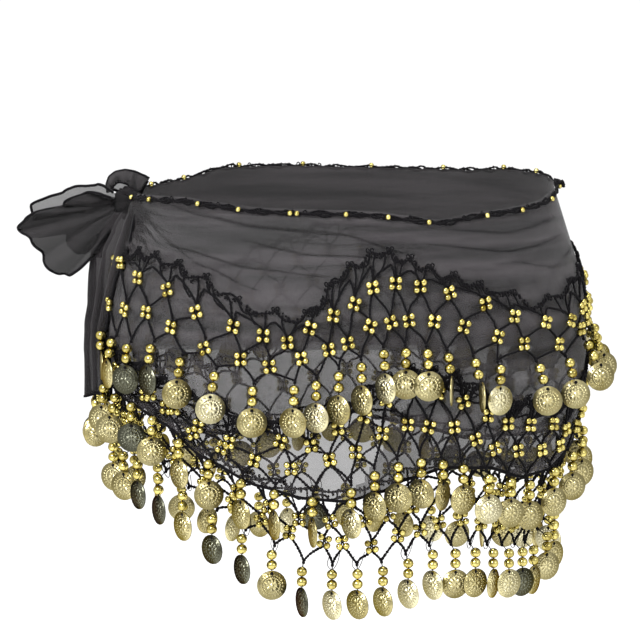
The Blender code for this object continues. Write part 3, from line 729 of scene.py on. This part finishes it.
def coinMaterial(name, shades):  # the stamp: a ring of dots, a ring of leaves and a rosette
    material, tree, shader, place, colour, share = plated(name, shades, goldLook["coinRoughness"],
                                                          goldLook["coinWear"], 4.0)
    split = addNode(tree, "ShaderNodeSeparateXYZ", None, {"Vector": place.outputs["UV"]})
    grit = addNode(tree, "ShaderNodeTexNoise", {"Scale": 1 / (goldLook["grit"] * mm), "Detail": 2.0},
                   {"Vector": place.outputs["Object"]})
    steps = [("u", "SUBTRACT", "x", 0.5), ("v", "SUBTRACT", "y", 0.5), ("turn", "ARCTAN2", "v", "u"),
             ("uu", "MULTIPLY", "u", "u"), ("vv", "MULTIPLY", "v", "v"), ("square", "ADD", "uu", "vv"),
             ("half", "SQRT", "square"), ("radius", "MULTIPLY", "half", 2.0)]
    for middle, width, wave, count, kept in coinStamp["rings"]:
        steps += [("off", "SUBTRACT", "radius", middle), ("off", "ABSOLUTE", "off"),
                  ("off", "DIVIDE", "off", width),
                  ("near", "SUBTRACT", 1.0, "off"), ("near", "MAXIMUM", "near", 0.0),
                  ("wave", "MULTIPLY", "turn", count), ("wave", wave, "wave"), ("wave", kept, "wave", 0.0),
                  ("part", "MULTIPLY", "near", "wave"), ("relief", "ADD", "relief", "part")]
    steps += [("full", "MINIMUM", "relief", 1.0), ("ground", "SUBTRACT", 1.0, "full"),
              ("sunken", "MULTIPLY", "ground", coinStamp["sunken"]),
              ("worn", "MULTIPLY", "wear", coinStamp["wear"]),
              ("patina", "ADD", "worn", "sunken"), ("gritty", "MULTIPLY", "grit", coinStamp["grit"]),
              ("height", "ADD", "relief", "gritty")]
    made = {"x": split.outputs["X"], "y": split.outputs["Y"], "wear": share.outputs["Result"],
            "grit": grit.outputs["Fac"], "relief": 0.0}
    for name, operation, *sources in steps:
        settings, links = {"operation": operation}, {}
        for socket, source in enumerate(sources):
            value = made.get(source, source)
            (settings if isinstance(value, float) else links)[socket] = value
        made[name] = addNode(tree, "ShaderNodeMath", settings, links).outputs[0]
    tree.links.new(made["patina"], colour.inputs["Factor"])
    bump = addNode(tree, "ShaderNodeBump", {"Strength": 1.0, "Distance": coinStamp["depth"]},
                   {"Height": made["height"]})
    joinShader(tree, shader, colour, bump)
    return material


coinGold = coinMaterial("stamped_coin", goldLook["coin"])
# a paler copy of the coin material, a painted highlight
coinPaintedHighlight = coinMaterial("stamped_coin_painted_highlight", goldLook["paintedHighlightPale"])
coinDark = coinMaterial("stamped_coin_tarnished", goldLook["tarnished"])

beads = {
    "small": 1.85,       # radii of the beads and of the thread's knots
    "cluster": 2.3,
    "large": 3.6,
    "knot": 1.35,
    "clusterHalf": 2.45,          # half the distance between the beads of a cluster
    "clusterTurn": 22,            # how much a cluster may be turned
    "splay": (0.92, 1.1),
    "stretch": (0.92, 1.06),
    "knotSize": (0.5, 0.95),
    "knotTall": (0.8, 1.4),
}
coin = {"radius": 10.0, "thick": 1.1, "rim": 1.1, "rimWall": 0.35, "rimProud": 0.35, "field": 3.0,
        "fieldProud": 0.25, "sides": 22}


def sphereTemplate(name, radius, around, levels, tall=1.0):
    bm = bmesh.new()
    bmesh.ops.create_uvsphere(bm, u_segments=around, v_segments=levels, radius=radius * mm)
    bmesh.ops.scale(bm, vec=(1, 1, tall), verts=bm.verts)
    mesh = bpy.data.meshes.new(name)
    bm.to_mesh(mesh)
    bm.free()
    return mesh


def coinTemplate():  # stands in the XZ plane, with a raised rim on both faces
    bm = bmesh.new()
    bmesh.ops.create_circle(bm, cap_ends=True, radius=coin["radius"] * mm, segments=coin["sides"])
    half = 0.5 * coin["thick"] * mm
    bmesh.ops.translate(bm, vec=(0, 0, half), verts=bm.verts)
    face = bm.faces[:][0]
    bmesh.ops.inset_region(bm, faces=[face], thickness=coin["rim"] * mm, depth=0.0)
    bmesh.ops.inset_region(bm, faces=[face], thickness=coin["rimWall"] * mm, depth=-coin["rimProud"] * mm)
    bmesh.ops.inset_region(bm, faces=[face], thickness=coin["field"] * mm, depth=coin["fieldProud"] * mm)
    uvs = bm.loops.layers.uv.new("coin")
    other = bmesh.ops.duplicate(bm, geom=bm.verts[:] + bm.edges[:] + bm.faces[:])
    copied = [g for g in other["geom"] if isinstance(g, bmesh.types.BMVert)]
    bmesh.ops.scale(bm, vec=(1, 1, -1), verts=copied)
    bmesh.ops.bridge_loops(bm, edges=[e for e in bm.edges if e.is_boundary])
    bmesh.ops.recalc_face_normals(bm, faces=bm.faces)
    for f in bm.faces:
        for loop in f.loops:
            loop[uvs].uv = (0.5 + loop.vert.co.x / (2 * coin["radius"] * mm),
                            0.5 + loop.vert.co.y / (2 * coin["radius"] * mm))
    bmesh.ops.rotate(bm, cent=(0, 0, 0), matrix=Matrix.Rotation(pi / 2, 3, "X"), verts=bm.verts)
    mesh = bpy.data.meshes.new("coin")
    bm.to_mesh(mesh)
    bm.free()
    return mesh


smallBead = sphereTemplate("small_bead", beads["small"], 8, 6)
clusterBead = sphereTemplate("cluster_bead", beads["cluster"], 9, 6)
largeBead = sphereTemplate("large_bead", beads["large"], 12, 8, 0.94)
knotBead = sphereTemplate("thread_knot", beads["knot"], 6, 4)
stampedCoin = coinTemplate()


def frameAt(angle, height, out):  # place on the form with tangent, outward and up directions
    turn = radians(angle)
    halfWidth, halfDepth = form["girth"]
    tangent = Vector((halfWidth * cos(turn), halfDepth * sin(turn), 0)).normalized()
    outward = Vector((tangent.y, -tangent.x, 0))
    return onForm(angle, height, out), tangent, outward, Vector((0, 0, 1))


def clusterBeads():
    places, threads = [], []
    half = beads["clusterHalf"] * mm
    for angle, height, out in allClusters:
        centre, tangent, outward, up = frameAt(angle, height, out + 1.5)
        most = beads["clusterTurn"]
        turn, splay = radians(rng.uniform(-most, most)), rng.uniform(*beads["splay"])
        for sx, sz in ((-1, -1), (1, -1), (-1, 1), (1, 1)):
            x, z = sx * half * splay, sz * half * rng.uniform(*beads["stretch"])
            x, z = x * cos(turn) - z * sin(turn), x * sin(turn) + z * cos(turn)
            spot = centre + tangent * x + up * z + outward * rng.uniform(-0.3, 0.3) * mm
            places.append(Matrix.Translation(spot))
            threads.append([centre - outward * 0.8 * mm, spot])
    return places, threads


dangle = {
    "turns": {           # degrees that the coins of the front are turned about their thread
        1: (11, 6, -23, 13, -40, -30, -21, 21, 30, 42, 50, 56, 12, 5, -66, -75, -6, 40, 48, 50, 60),
        2: (-45, -46, -38, -50, 19, -33, 33, 55, 68, 51, 47, 32, 46, -43, -13, 6, 7, 22, 25, 45, 50),
        3: (-40, -30, 7, 19, 17, 18, 36, -20, 58, 49, 47, 58, 60, 67, 1, -8, -30, 5, 12, -4, 40, 35),
    },
    "tarnished": {       # tier and number in it
        (1, 2), (1, 3), (2, 2), (3, 2), (3, 3), (3, 5), (3, 6), (3, 8), (3, 18), (1, 30), (2, 28), (3, 33),
    },
    # coins given the paler colour as a painted highlight, where they catch the light
    "paintedHighlight": {(1, 5), (1, 8), (1, 11), (1, 16), (2, 9), (2, 15), (3, 9), (3, 12), (3, 13), (3, 17)},
    "behindTurn": 55,
    "behindPaintedHighlight": 0.3,  # share of the coins behind given the paler colour as a painted highlight, at random
    "apart": 3.6,         # every second one hangs further out, so the coins pass each other
    "clear": 7.0,         # the first bead's distance from the form
    "drops": (5.5, 12.5, 16.3, 18.4, 26.5),  # down to the two beads, the thread's knot, the hole and the coin
    "tail": (             # the three under the hanging tail: mm along, turn, coin
        (-9.5, 80, 1), (-1.5, 72, 0), (6.5, 64, 0)),
    "tailAt": (-87, -142.3),
    "tailOut": (10.0, 3.0),
    "thread": 0.4,        # its radius
    "coinClear": 4.8,     # how far a coin that is edge on stays from the form
    "narrow": (-120, 0.35),       # below this height the form narrows, by this share of the height
    "narrowest": (-150, 10.5),    # and from here on by this much
    "spin": 6,
}


def coinKind(place):  # 0 plain, 1 tarnished, 2 paler as a painted highlight
    return 1 if place in dangle["tarnished"] else 2 if place in dangle["paintedHighlight"] else 0


def dangles():
    bigs, knots, coins, slots, threads, hang = [], [], [], [], [], []
    for tier in (1, 2, 3):
        own = dangle["turns"][tier]
        for index, angle in enumerate(tierColumns[tier]):
            behind, kind = index - len(own), coinKind((tier, index))
            turn = own[index] if behind < 0 else dangle["behindTurn"] * sin(2.3 * behind + tier)
            if behind >= 0 and kind == 0 and rng.random() < dangle["behindPaintedHighlight"]:
                kind = 2
            lift = dangle["apart"] * ((index if behind < 0 else behind) % 2)
            hang.append((angle, tierLevels(tier, angle)[0], turn, lift, nets["chainOut"][tier], 0.0, kind))
    tailAngle, tailHeight = dangle["tailAt"]
    for shift, turn, kind in dangle["tail"]:
        angle = tailAngle + turnOf(shift, tailAngle)
        hang.append((angle, tailHeight, turn, 0.0, *dangle["tailOut"], kind))
    for angle, height, turn, lift, threadOut, more, kind in hang:
        base, tangent, outward, up = frameAt(angle, height, 0.0)
        clear = dangle["clear"]
        (below, share), (far, most) = dangle["narrow"], dangle["narrowest"]
        tuck = most if height < far else share * max(0.0, below - height)
        edgeOut = dangle["coinClear"] + coin["radius"] * abs(sin(radians(turn)))
        swing = max(max(clear, edgeOut) + lift - tuck, clear)
        middle = clear + 0.4 * (swing - clear)
        aways = (clear, middle, 0.5 * (middle + swing), swing, swing)
        first, second, knotAt, holeAt, coinAt = (base + outward * ((away + more) * mm) - up * (drop * mm)
                                                 for drop, away in zip(dangle["drops"], aways))
        for spot in (first, second):
            bigs.append(Matrix.Translation(spot) @ Matrix.Rotation(radians(angle), 4, "Z"))
        knots.append(Matrix.Translation(base + outward * ((threadOut + 0.6) * mm) - up * mm))
        knots.append(Matrix.Translation(holeAt))
        top = onForm(angle, height, threadOut)
        threads += [[top, first], [first, second], [second, knotAt], [knotAt, holeAt]]
        across = tangent * cos(radians(turn)) + outward * sin(radians(turn))
        through = across.cross(up)
        basis = Matrix((across, -through, up)).transposed().to_4x4()
        spin = Matrix.Rotation(radians(rng.uniform(-dangle["spin"], dangle["spin"])), 4, "Y")
        coins.append(Matrix.Translation(coinAt) @ basis @ spin)
        slots.append(kind)
    return bigs, knots, coins, slots, threads


clusterPlaces, clusterThreads = clusterBeads()
bigPlaces, knotPlaces, coinPlaces, coinSlots, dangleThreads = dangles()
smallBeads = finishPiece(repeated("cluster_beads", clusterBead, clusterPlaces, beadGold), "gold")
largeBeads = finishPiece(repeated("dangle_beads", largeBead, bigPlaces, beadGold), "gold")
coinPiece = repeated("stamped_coins", stampedCoin, coinPlaces, coinGold, coinDark, coinPaintedHighlight, slots=coinSlots)
fringes = [f"fringe_{tier}_{part}" for tier in (1, 2, 3) for part in ("front", "back")]
finishPiece(coinPiece, "gold", *fringes, "fringe_tail")
for angle, height, out in allNubs:
    size = rng.uniform(*beads["knotSize"])
    spot = onForm(angle, height, out + 0.3)
    tall = size * rng.uniform(*beads["knotTall"])
    knotPlaces.append(Matrix.Translation(spot) @ Matrix.Diagonal((size, size, tall, 1)))
knotPiece = finishPiece(repeated("thread_knots", knotBead, knotPlaces, yarn), "crochet")
tieGroups = ((dangle["thread"], clusterThreads + dangleThreads), (nets["looseRadius"], looseLoops()))
tiePiece = finishPiece(threadPiece("tie_threads", tieGroups), "crochet")
print(f"{len(clusterPlaces)} small beads, {len(bigPlaces)} large beads and {len(coinPlaces)} coins made")


# Tied ends of the same chiffon: the knot, the ear over it, the spread short end and the hanging
# long end.
def sheetPiece(name, columns, rows, placeOf, material, scale=0.06):  # a grid laid by (across, down) shares
    bm = bmesh.new()
    bmesh.ops.create_grid(bm, x_segments=columns, y_segments=rows, size=0.5)
    uvs = bm.loops.layers.uv.new("cloth")
    shares = {}
    for vert in bm.verts:
        across, down = vert.co.x + 0.5, 0.5 - vert.co.y
        shares[vert.index] = (across, down)
        vert.co = Vector(placeOf(across, down)) * mm
    for face in bm.faces:
        for loop in face.loops:
            across, down = shares[loop.vert.index]
            loop[uvs].uv = (down * scale, across * scale)  # the folds run down it
    bmesh.ops.recalc_face_normals(bm, faces=bm.faces)
    return pieceFrom(bm, name, material)


def hemTube(name, outlines, radius):  # the rolled and stitched edge of the chiffon
    paths = [smoothPath([Vector(p) * mm for p in outline], 1.6 * mm) for outline in outlines]
    return finishPiece(threadPiece(name, ((radius, paths),)), "chiffon")


tiedEnds = {
    "knotCentre": (-150.0, -7.2, -8.0),
    "knotRadii": (11.0, 9.4, 11.5),
    "fan": (  # direction in degrees, length of the gathered layers
        (158, 19), (166, 31), (173, 38), (179, 43), (183, 47), (185, 63), (188, 72), (192, 77), (195, 77),
        (199.5, 71), (206, 68.5), (210, 70), (215, 69.5), (225, 69.5), (230, 65), (233, 56), (236, 44),
        (243, 40),
    ),
    "sliver": (  # the single layer that stands out above them
        (143, 19), (148, 25), (156, 31), (163, 38), (170, 46), (176, 57), (181, 66), (186, 67.5), (190, 66),
    ),
    "liningShort": (200, 0.72),  # from this direction on, the second layer is shorter by this share
    "fanStart": 9.0,
    "layers": {  # pleats, how far it comes forward, depth of the pleats, columns, distance at the knot
        "fan": (5.5, 10.0, 4.2, 150, 1.5),
        "lining": (3.3, 6.0, 1.8, 110, 0.5),
        "sliver": (2.2, 6.0, 0.9, 60, 0.0),
    },
    "thickness": 0.45,
    "earThickness": 0.4,
    "hem": 1.05,  # radius of the rolled hem
    "ear": (  # its upper edge and its lower edge, from the far side to the near one
        ((-164.5, -1), (-165.2, 5), (-163, 10.5), (-158.5, 13.8), (-152, 15), (-146, 14), (-139, 11),
         (-135.5, 9)),
        ((-162, 0), (-160, 4.2), (-157.5, 6.2), (-154.5, 6.4), (-151, 5.2), (-147.5, 1), (-142.5, 0),
         (-136.6, 7.2)),
    ),
    "tail": (  # height, x and y of the left edge, x and y of the right edge, depth of the folds
        (-141, -182.5, -4, -164, -33, 5), (-109, -182.5, -4, -164, -34, 5.4),
        (-92, -180.5, -5, -163, -35, 5.4), (-77, -177.5, -6, -160, -37, 5),
        (-60, -177.5, -7, -156, -39, 4.4), (-40, -176.5, -8, -151, -40, 3.8),
        (-22, -167, -10, -147, -34, 3), (-12, -159, -12, -145, -27, 2.2),
    ),
}


def makeFan(name, table, layer, material):
    pleats, forward, depth, columns, near = tiedEnds["layers"][layer]
    cx, cy, cz = tiedEnds["knotCentre"]
    start = tiedEnds["fanStart"]
    rows = [(i, *row) for i, row in enumerate(table)]

    def place(across, down):
        key = across * (len(rows) - 1)
        direction, length = tableValue(rows, key, 1, 0), tableValue(rows, key, 2, 0.3)
        turn = radians(direction)
        reach = start + (length - start) * down
        fold = depth * down ** 0.8 * cos(2 * pi * pleats * across + 0.9 * sin(7 * across) + 0.5 * down)
        fold += 0.3 * depth * down * sin(2 * pi * 1.7 * pleats * across + 3.0 * down)
        ruffle = 1.3 * down ** 4 * sin(2 * pi * pleats * across * 1.3 + 1.0)
        y = cy - near - (forward - near) * min(1.0, 2.4 * down) - fold
        return (cx + (reach + ruffle) * cos(turn), y, cz + (reach + ruffle) * sin(turn))

    piece = finishPiece(sheetPiece(name, columns, 26, place, material), "chiffon", "tail_fan")
    addThickness(piece, tiedEnds["thickness"])
    edge = [place(0, d / 8) for d in range(3, 9)] + [place(a / 60, 1) for a in range(1, 60)]
    edge += [place(1, d / 8) for d in range(8, 2, -1)]
    return piece, edge


def makeKnot():
    cx, cy, cz = tiedEnds["knotCentre"]
    rx, ry, rz = tiedEnds["knotRadii"]
    bm = bmesh.new()
    bmesh.ops.create_uvsphere(bm, u_segments=96, v_segments=40, radius=1.0)
    uvs = bm.loops.layers.uv.new("cloth")
    for vert in bm.verts:
        x, y, z = vert.co
        turn = pi * 0.5 * z + 0.6 * sin(2.2 * x)
        fold = 0.055 * sin(9 * (x * cos(turn) + z * sin(turn)) + 4 * y) + 0.035 * sin(15 * (z - 0.5 * x) + 2)
        groove = -0.10 * max(0.0, 1 - abs(z + 0.25 * x - 0.1) / 0.12)
        size = 1 + fold + groove
        vert.co = Vector((cx + rx * x * size, cy + ry * y * size, cz + rz * z * size)) * mm
    for face in bm.faces:
        for loop in face.loops:
            loop[uvs].uv = (loop.vert.co.x, loop.vert.co.z)
    return pieceFrom(bm, "knot_wrap", chiffonKnot)


def makeEar():
    upper, lower = tiedEnds["ear"]
    y = tiedEnds["knotCentre"][1]
    top = [(i, *p) for i, p in enumerate(upper)]
    bottom = [(i, *p) for i, p in enumerate(lower)]

    def place(across, down):
        key = across * (len(upper) - 1)
        x = tableValue(top, key, 1, 0) * (1 - down) + tableValue(bottom, key, 1, 0) * down
        z = tableValue(top, key, 2, 0.3) * (1 - down) + tableValue(bottom, key, 2, 0.3) * down
        puff = 5.5 * sin(pi * min(1.0, down * 0.8 + 0.1)) * sin(pi * (0.15 + 0.8 * across))
        crinkle = 1.0 * sin(19 * across + 5 * down) * down
        return (x, y - puff - crinkle, z)

    def behind(across, down):
        x, front, z = place(across, down)
        return (x, 2 * y - front + 0.5, z - 8 * down * sin(pi * across))

    front = sheetPiece("ear_front", 40, 12, place, chiffonEar)
    back = sheetPiece("ear_back", 40, 12, behind, chiffonSliver)
    edge = [place(a / 24, 0) for a in range(25)]
    low = [place(a / 24, 1) for a in range(25)]
    backLow = [behind(a / 24, 1) for a in range(25)]
    return front, back, [edge, low, backLow]


def makeHangingTail():
    rows = tiedEnds["tail"]

    def place(across, down):
        height = -14 - (141 - 14) * down
        leftX, leftY, rightX, rightY, fold = (tableValue(rows, height, c, 0.3) for c in (1, 2, 3, 4, 5))
        ripple = fold * (0.85 * cos(6 * pi * across + 0.5 * sin(5 * down))
                         + 0.2 * sin(17 * across + 6 * down))
        hemDip = 2.5 * down ** 6 * sin(9 * across)
        return (leftX + (rightX - leftX) * across + 0.75 * ripple,
                leftY + (rightY - leftY) * across + 0.65 * ripple, height - hemDip)

    piece = finishPiece(sheetPiece("hanging_end", 72, 60, place, chiffonTail), "chiffon", "tail_hanging")
    addThickness(piece, tiedEnds["thickness"])
    edge = [place(0, d / 20) for d in range(21)] + [place(a / 40, 1) for a in range(1, 41)]
    return piece, [edge, [place(1, d / 20) for d in range(21)]]


# the last number paints the shade of the gathered, knotted, hanging and folded ends into their colours
chiffonGathered = chiffonMaterial("chiffon_gathered", 4.4, 0.5)
chiffonKnot = chiffonMaterial("chiffon_knotted", 7, 0.28)
chiffonTail = chiffonMaterial("chiffon_hanging_folds", 5, 0.6)
chiffonSliver = chiffonMaterial("chiffon_one_layer_end", 2.0)
chiffonEar = chiffonMaterial("chiffon_folded_ear", 4.6, 0.75)
shortFrom, shortShare = tiedEnds["liningShort"]
liningTable = [(direction, length * (1.0 if direction < shortFrom else shortShare))
               for direction, length in tiedEnds["fan"]]
fanPiece, fanEdge = makeFan("short_end_fan", tiedEnds["fan"], "fan", chiffonGathered)
liningPiece, _ = makeFan("short_end_lining", liningTable, "lining", chiffonPleated)
sliverPiece, sliverEdge = makeFan("short_end_single", tiedEnds["sliver"], "sliver", chiffonSliver)
finishPiece(makeKnot(), "chiffon", "knot")
earFront, earBack, earEdges = makeEar()
for piece in (earFront, earBack):
    addThickness(finishPiece(piece, "chiffon", "knot_ear"), tiedEnds["earThickness"])
tailPiece, tailEdges = makeHangingTail()
endHems = hemTube("end_hems", [fanEdge, sliverEdge, *earEdges, *tailEdges], tiedEnds["hem"])
print("tied ends made")


# Edging: a crocheted cord along the rim, with a small gold bead every few centimetres.
edging = {
    "drop": ((-80, 2.5), (88, 2.5), (106, 0.0), (250, 0.0), (268, 2.5)),  # mm below the rim at each angle
    "out": 2.6,
    "points": 233,            # spots along the cord
    "strands": ((0.0, 0.0), (2.1, 0.7), (4.2, -0.6)),   # phase and rise of the three strands
    "loopTall": (1.2, 2.6),
    "radii": {"strand": 0.55, "loop": 0.42, "spare": 0.8},
    "beads": (  # angles of the single beads, a pair on the front
        -79, -63.3, -41.7, -28.6, -14.4, -12.6, -0.2, 10.4, 20.9, 38.2, 51.6, 69.9, 88,
        110, 127.5, 150, 172, 192, 212, 232.5, 250, 267,
    ),
    "backLift": 1.8,          # behind, the beads sit on top of the rim and show over it
    "backLoops": (186, 216),  # behind, loops stand up from the cord only here
    "yarnSize": 0.76,
    "hem": 1.25,              # radius of the cloth's rolled hem
}


def edgingLevel(angle):  # the cord lies on the rim, behind it tops the rim
    return edgeHeight("rim", angle) - tableValue(edging["drop"], angle, 1, 0.5)


def makeEdging():
    out, angles = edging["out"], evenly(*form["clothEnds"], edging["points"])
    strands = []
    for phase, rise in edging["strands"]:
        path = [(angle, edgingLevel(angle) + rise + 0.9 * sin(i * 1.15 + phase) + rng.uniform(-0.5, 0.5))
                for i, angle in enumerate(angles)]
        strands += plies(path, out - 0.4 + 0.4 * cos(phase), edging["yarnSize"])
    loops = []
    low, high = edging["backLoops"]
    for along in angles[:-1:2]:  # small loops that stand up from the cord, here and there
        angle = along + rng.uniform(-0.4, 0.4)
        if rng.random() < 0.4 or angle > 95 and not low < angle < high:
            continue
        level, tall, side = edgingLevel(angle), rng.uniform(*edging["loopTall"]), turnOf(1.3, angle)
        loop = ((angle - side, level), (angle - 0.7 * side, level + tall), (angle + 0.7 * side, level + tall),
                (angle + side, level))
        loops.append(smoothPath([onForm(a, h, out) for a, h in loop], 0.8 * mm))
    spare = []
    for i in range(3):  # the loop of the cord's end, past the plain side
        spare.append([onForm(86 + 7 * s + 0.8 * i, edgingLevel(88) + 1.5 + 2.2 * sin(2 * pi * s + i),
                             out + 5 * sin(pi * s)) for s in evenly(0, 1, 14)])
    radii = edging["radii"]
    groups = ((radii["strand"], strands), (radii["loop"], loops), (radii["spare"], spare))
    cord = threadPiece("rim_cord", groups, yarnLook["lumps"])
    spots = []
    for angle in edging["beads"]:
        lift = edging["backLift"] if angle > 100 else 0
        place = onForm(angle, edgingLevel(angle) + lift, out + (-1.5 if lift else 1.6))
        spots.append(Matrix.Translation(place))
    return cord, repeated("rim_beads", smallBead, spots, beadGold)


def hemLines():  # along the lower edge in two lengths, and up the two ends
    low, high = form["clothEnds"]
    lines = []
    for start, end in ((low, 90), (90, high)):
        lines.append([onForm(a, edgeHeight("hem", a), 0.5) / mm for a in evenly(start, end, 90)])
    for angle in (low, high):
        heights = evenly(edgeHeight("hem", angle), edgeHeight("rim", angle), 12)
        lines.append([onForm(angle, h, 0.5) / mm for h in heights])
    return lines


rimCord, rimBeads = makeEdging()
finishPiece(rimCord, "crochet", "edging_front", "edging_back")
finishPiece(rimBeads, "gold")
clothHem = hemTube("cloth_hem", hemLines(), edging["hem"])
print("edging made")


# Pale floor, soft studio light and the photo's viewing angle.
studio = {
    "floorLevel": -0.75,
    "floor": "#fafafa",
    "world": 1.05,
    "lamps": (  # name, place, size, power
        ("key", (-1.0, -1.6, 1.3), 0.7, 75),
        ("fill", (1.5, -1.2, 0.5), 0.9, 8),
        ("top", (0.2, 0.3, 1.7), 1.2, 16),
    ),
    "lampTarget": (0, 0, -0.1),
    "camera": (-0.0175, -1.7802, 0.1748),
    "target": (-0.0175, 0.0, -0.0913),
    "lens": 144.6,
}


def facing(thing, place, target):  # puts a lamp or camera at a place, looking at the target
    thing.location = place
    thing.rotation_euler = (Vector(target) - Vector(place)).to_track_quat("-Z", "Y").to_euler()
    scene.collection.objects.link(thing)
    return thing


def makeStudio():
    bm = bmesh.new()
    bmesh.ops.create_grid(bm, x_segments=2, y_segments=2, size=9.0)
    bmesh.ops.translate(bm, verts=bm.verts, vec=(0, 0, studio["floorLevel"]))
    material = newMaterial("studio_floor", {"Base Color": colourOf(studio["floor"]), "Roughness": 0.9})[0]
    pieceFrom(bm, "studio_floor", material)
    world = bpy.data.worlds.new("studio")
    scene.world = world
    world.use_nodes = True
    world.node_tree.nodes["Background"].inputs["Color"].default_value = (1, 1, 1, 1)
    world.node_tree.nodes["Background"].inputs["Strength"].default_value = studio["world"]
    for name, place, size, power in studio["lamps"]:
        light = bpy.data.lights.new(name, "AREA")
        light.size, light.energy = size, power
        facing(bpy.data.objects.new(name, light), place, studio["lampTarget"])
    eye = bpy.data.cameras.new("camera")
    eye.lens = studio["lens"]
    camera = facing(bpy.data.objects.new("camera", eye), studio["camera"], studio["target"])
    scene.camera = camera
    scene.view_settings.view_transform = "Standard"
    scene.cycles.transparent_max_bounces = 24  # many sheer layers lie behind each other


makeStudio()
print("studio made")
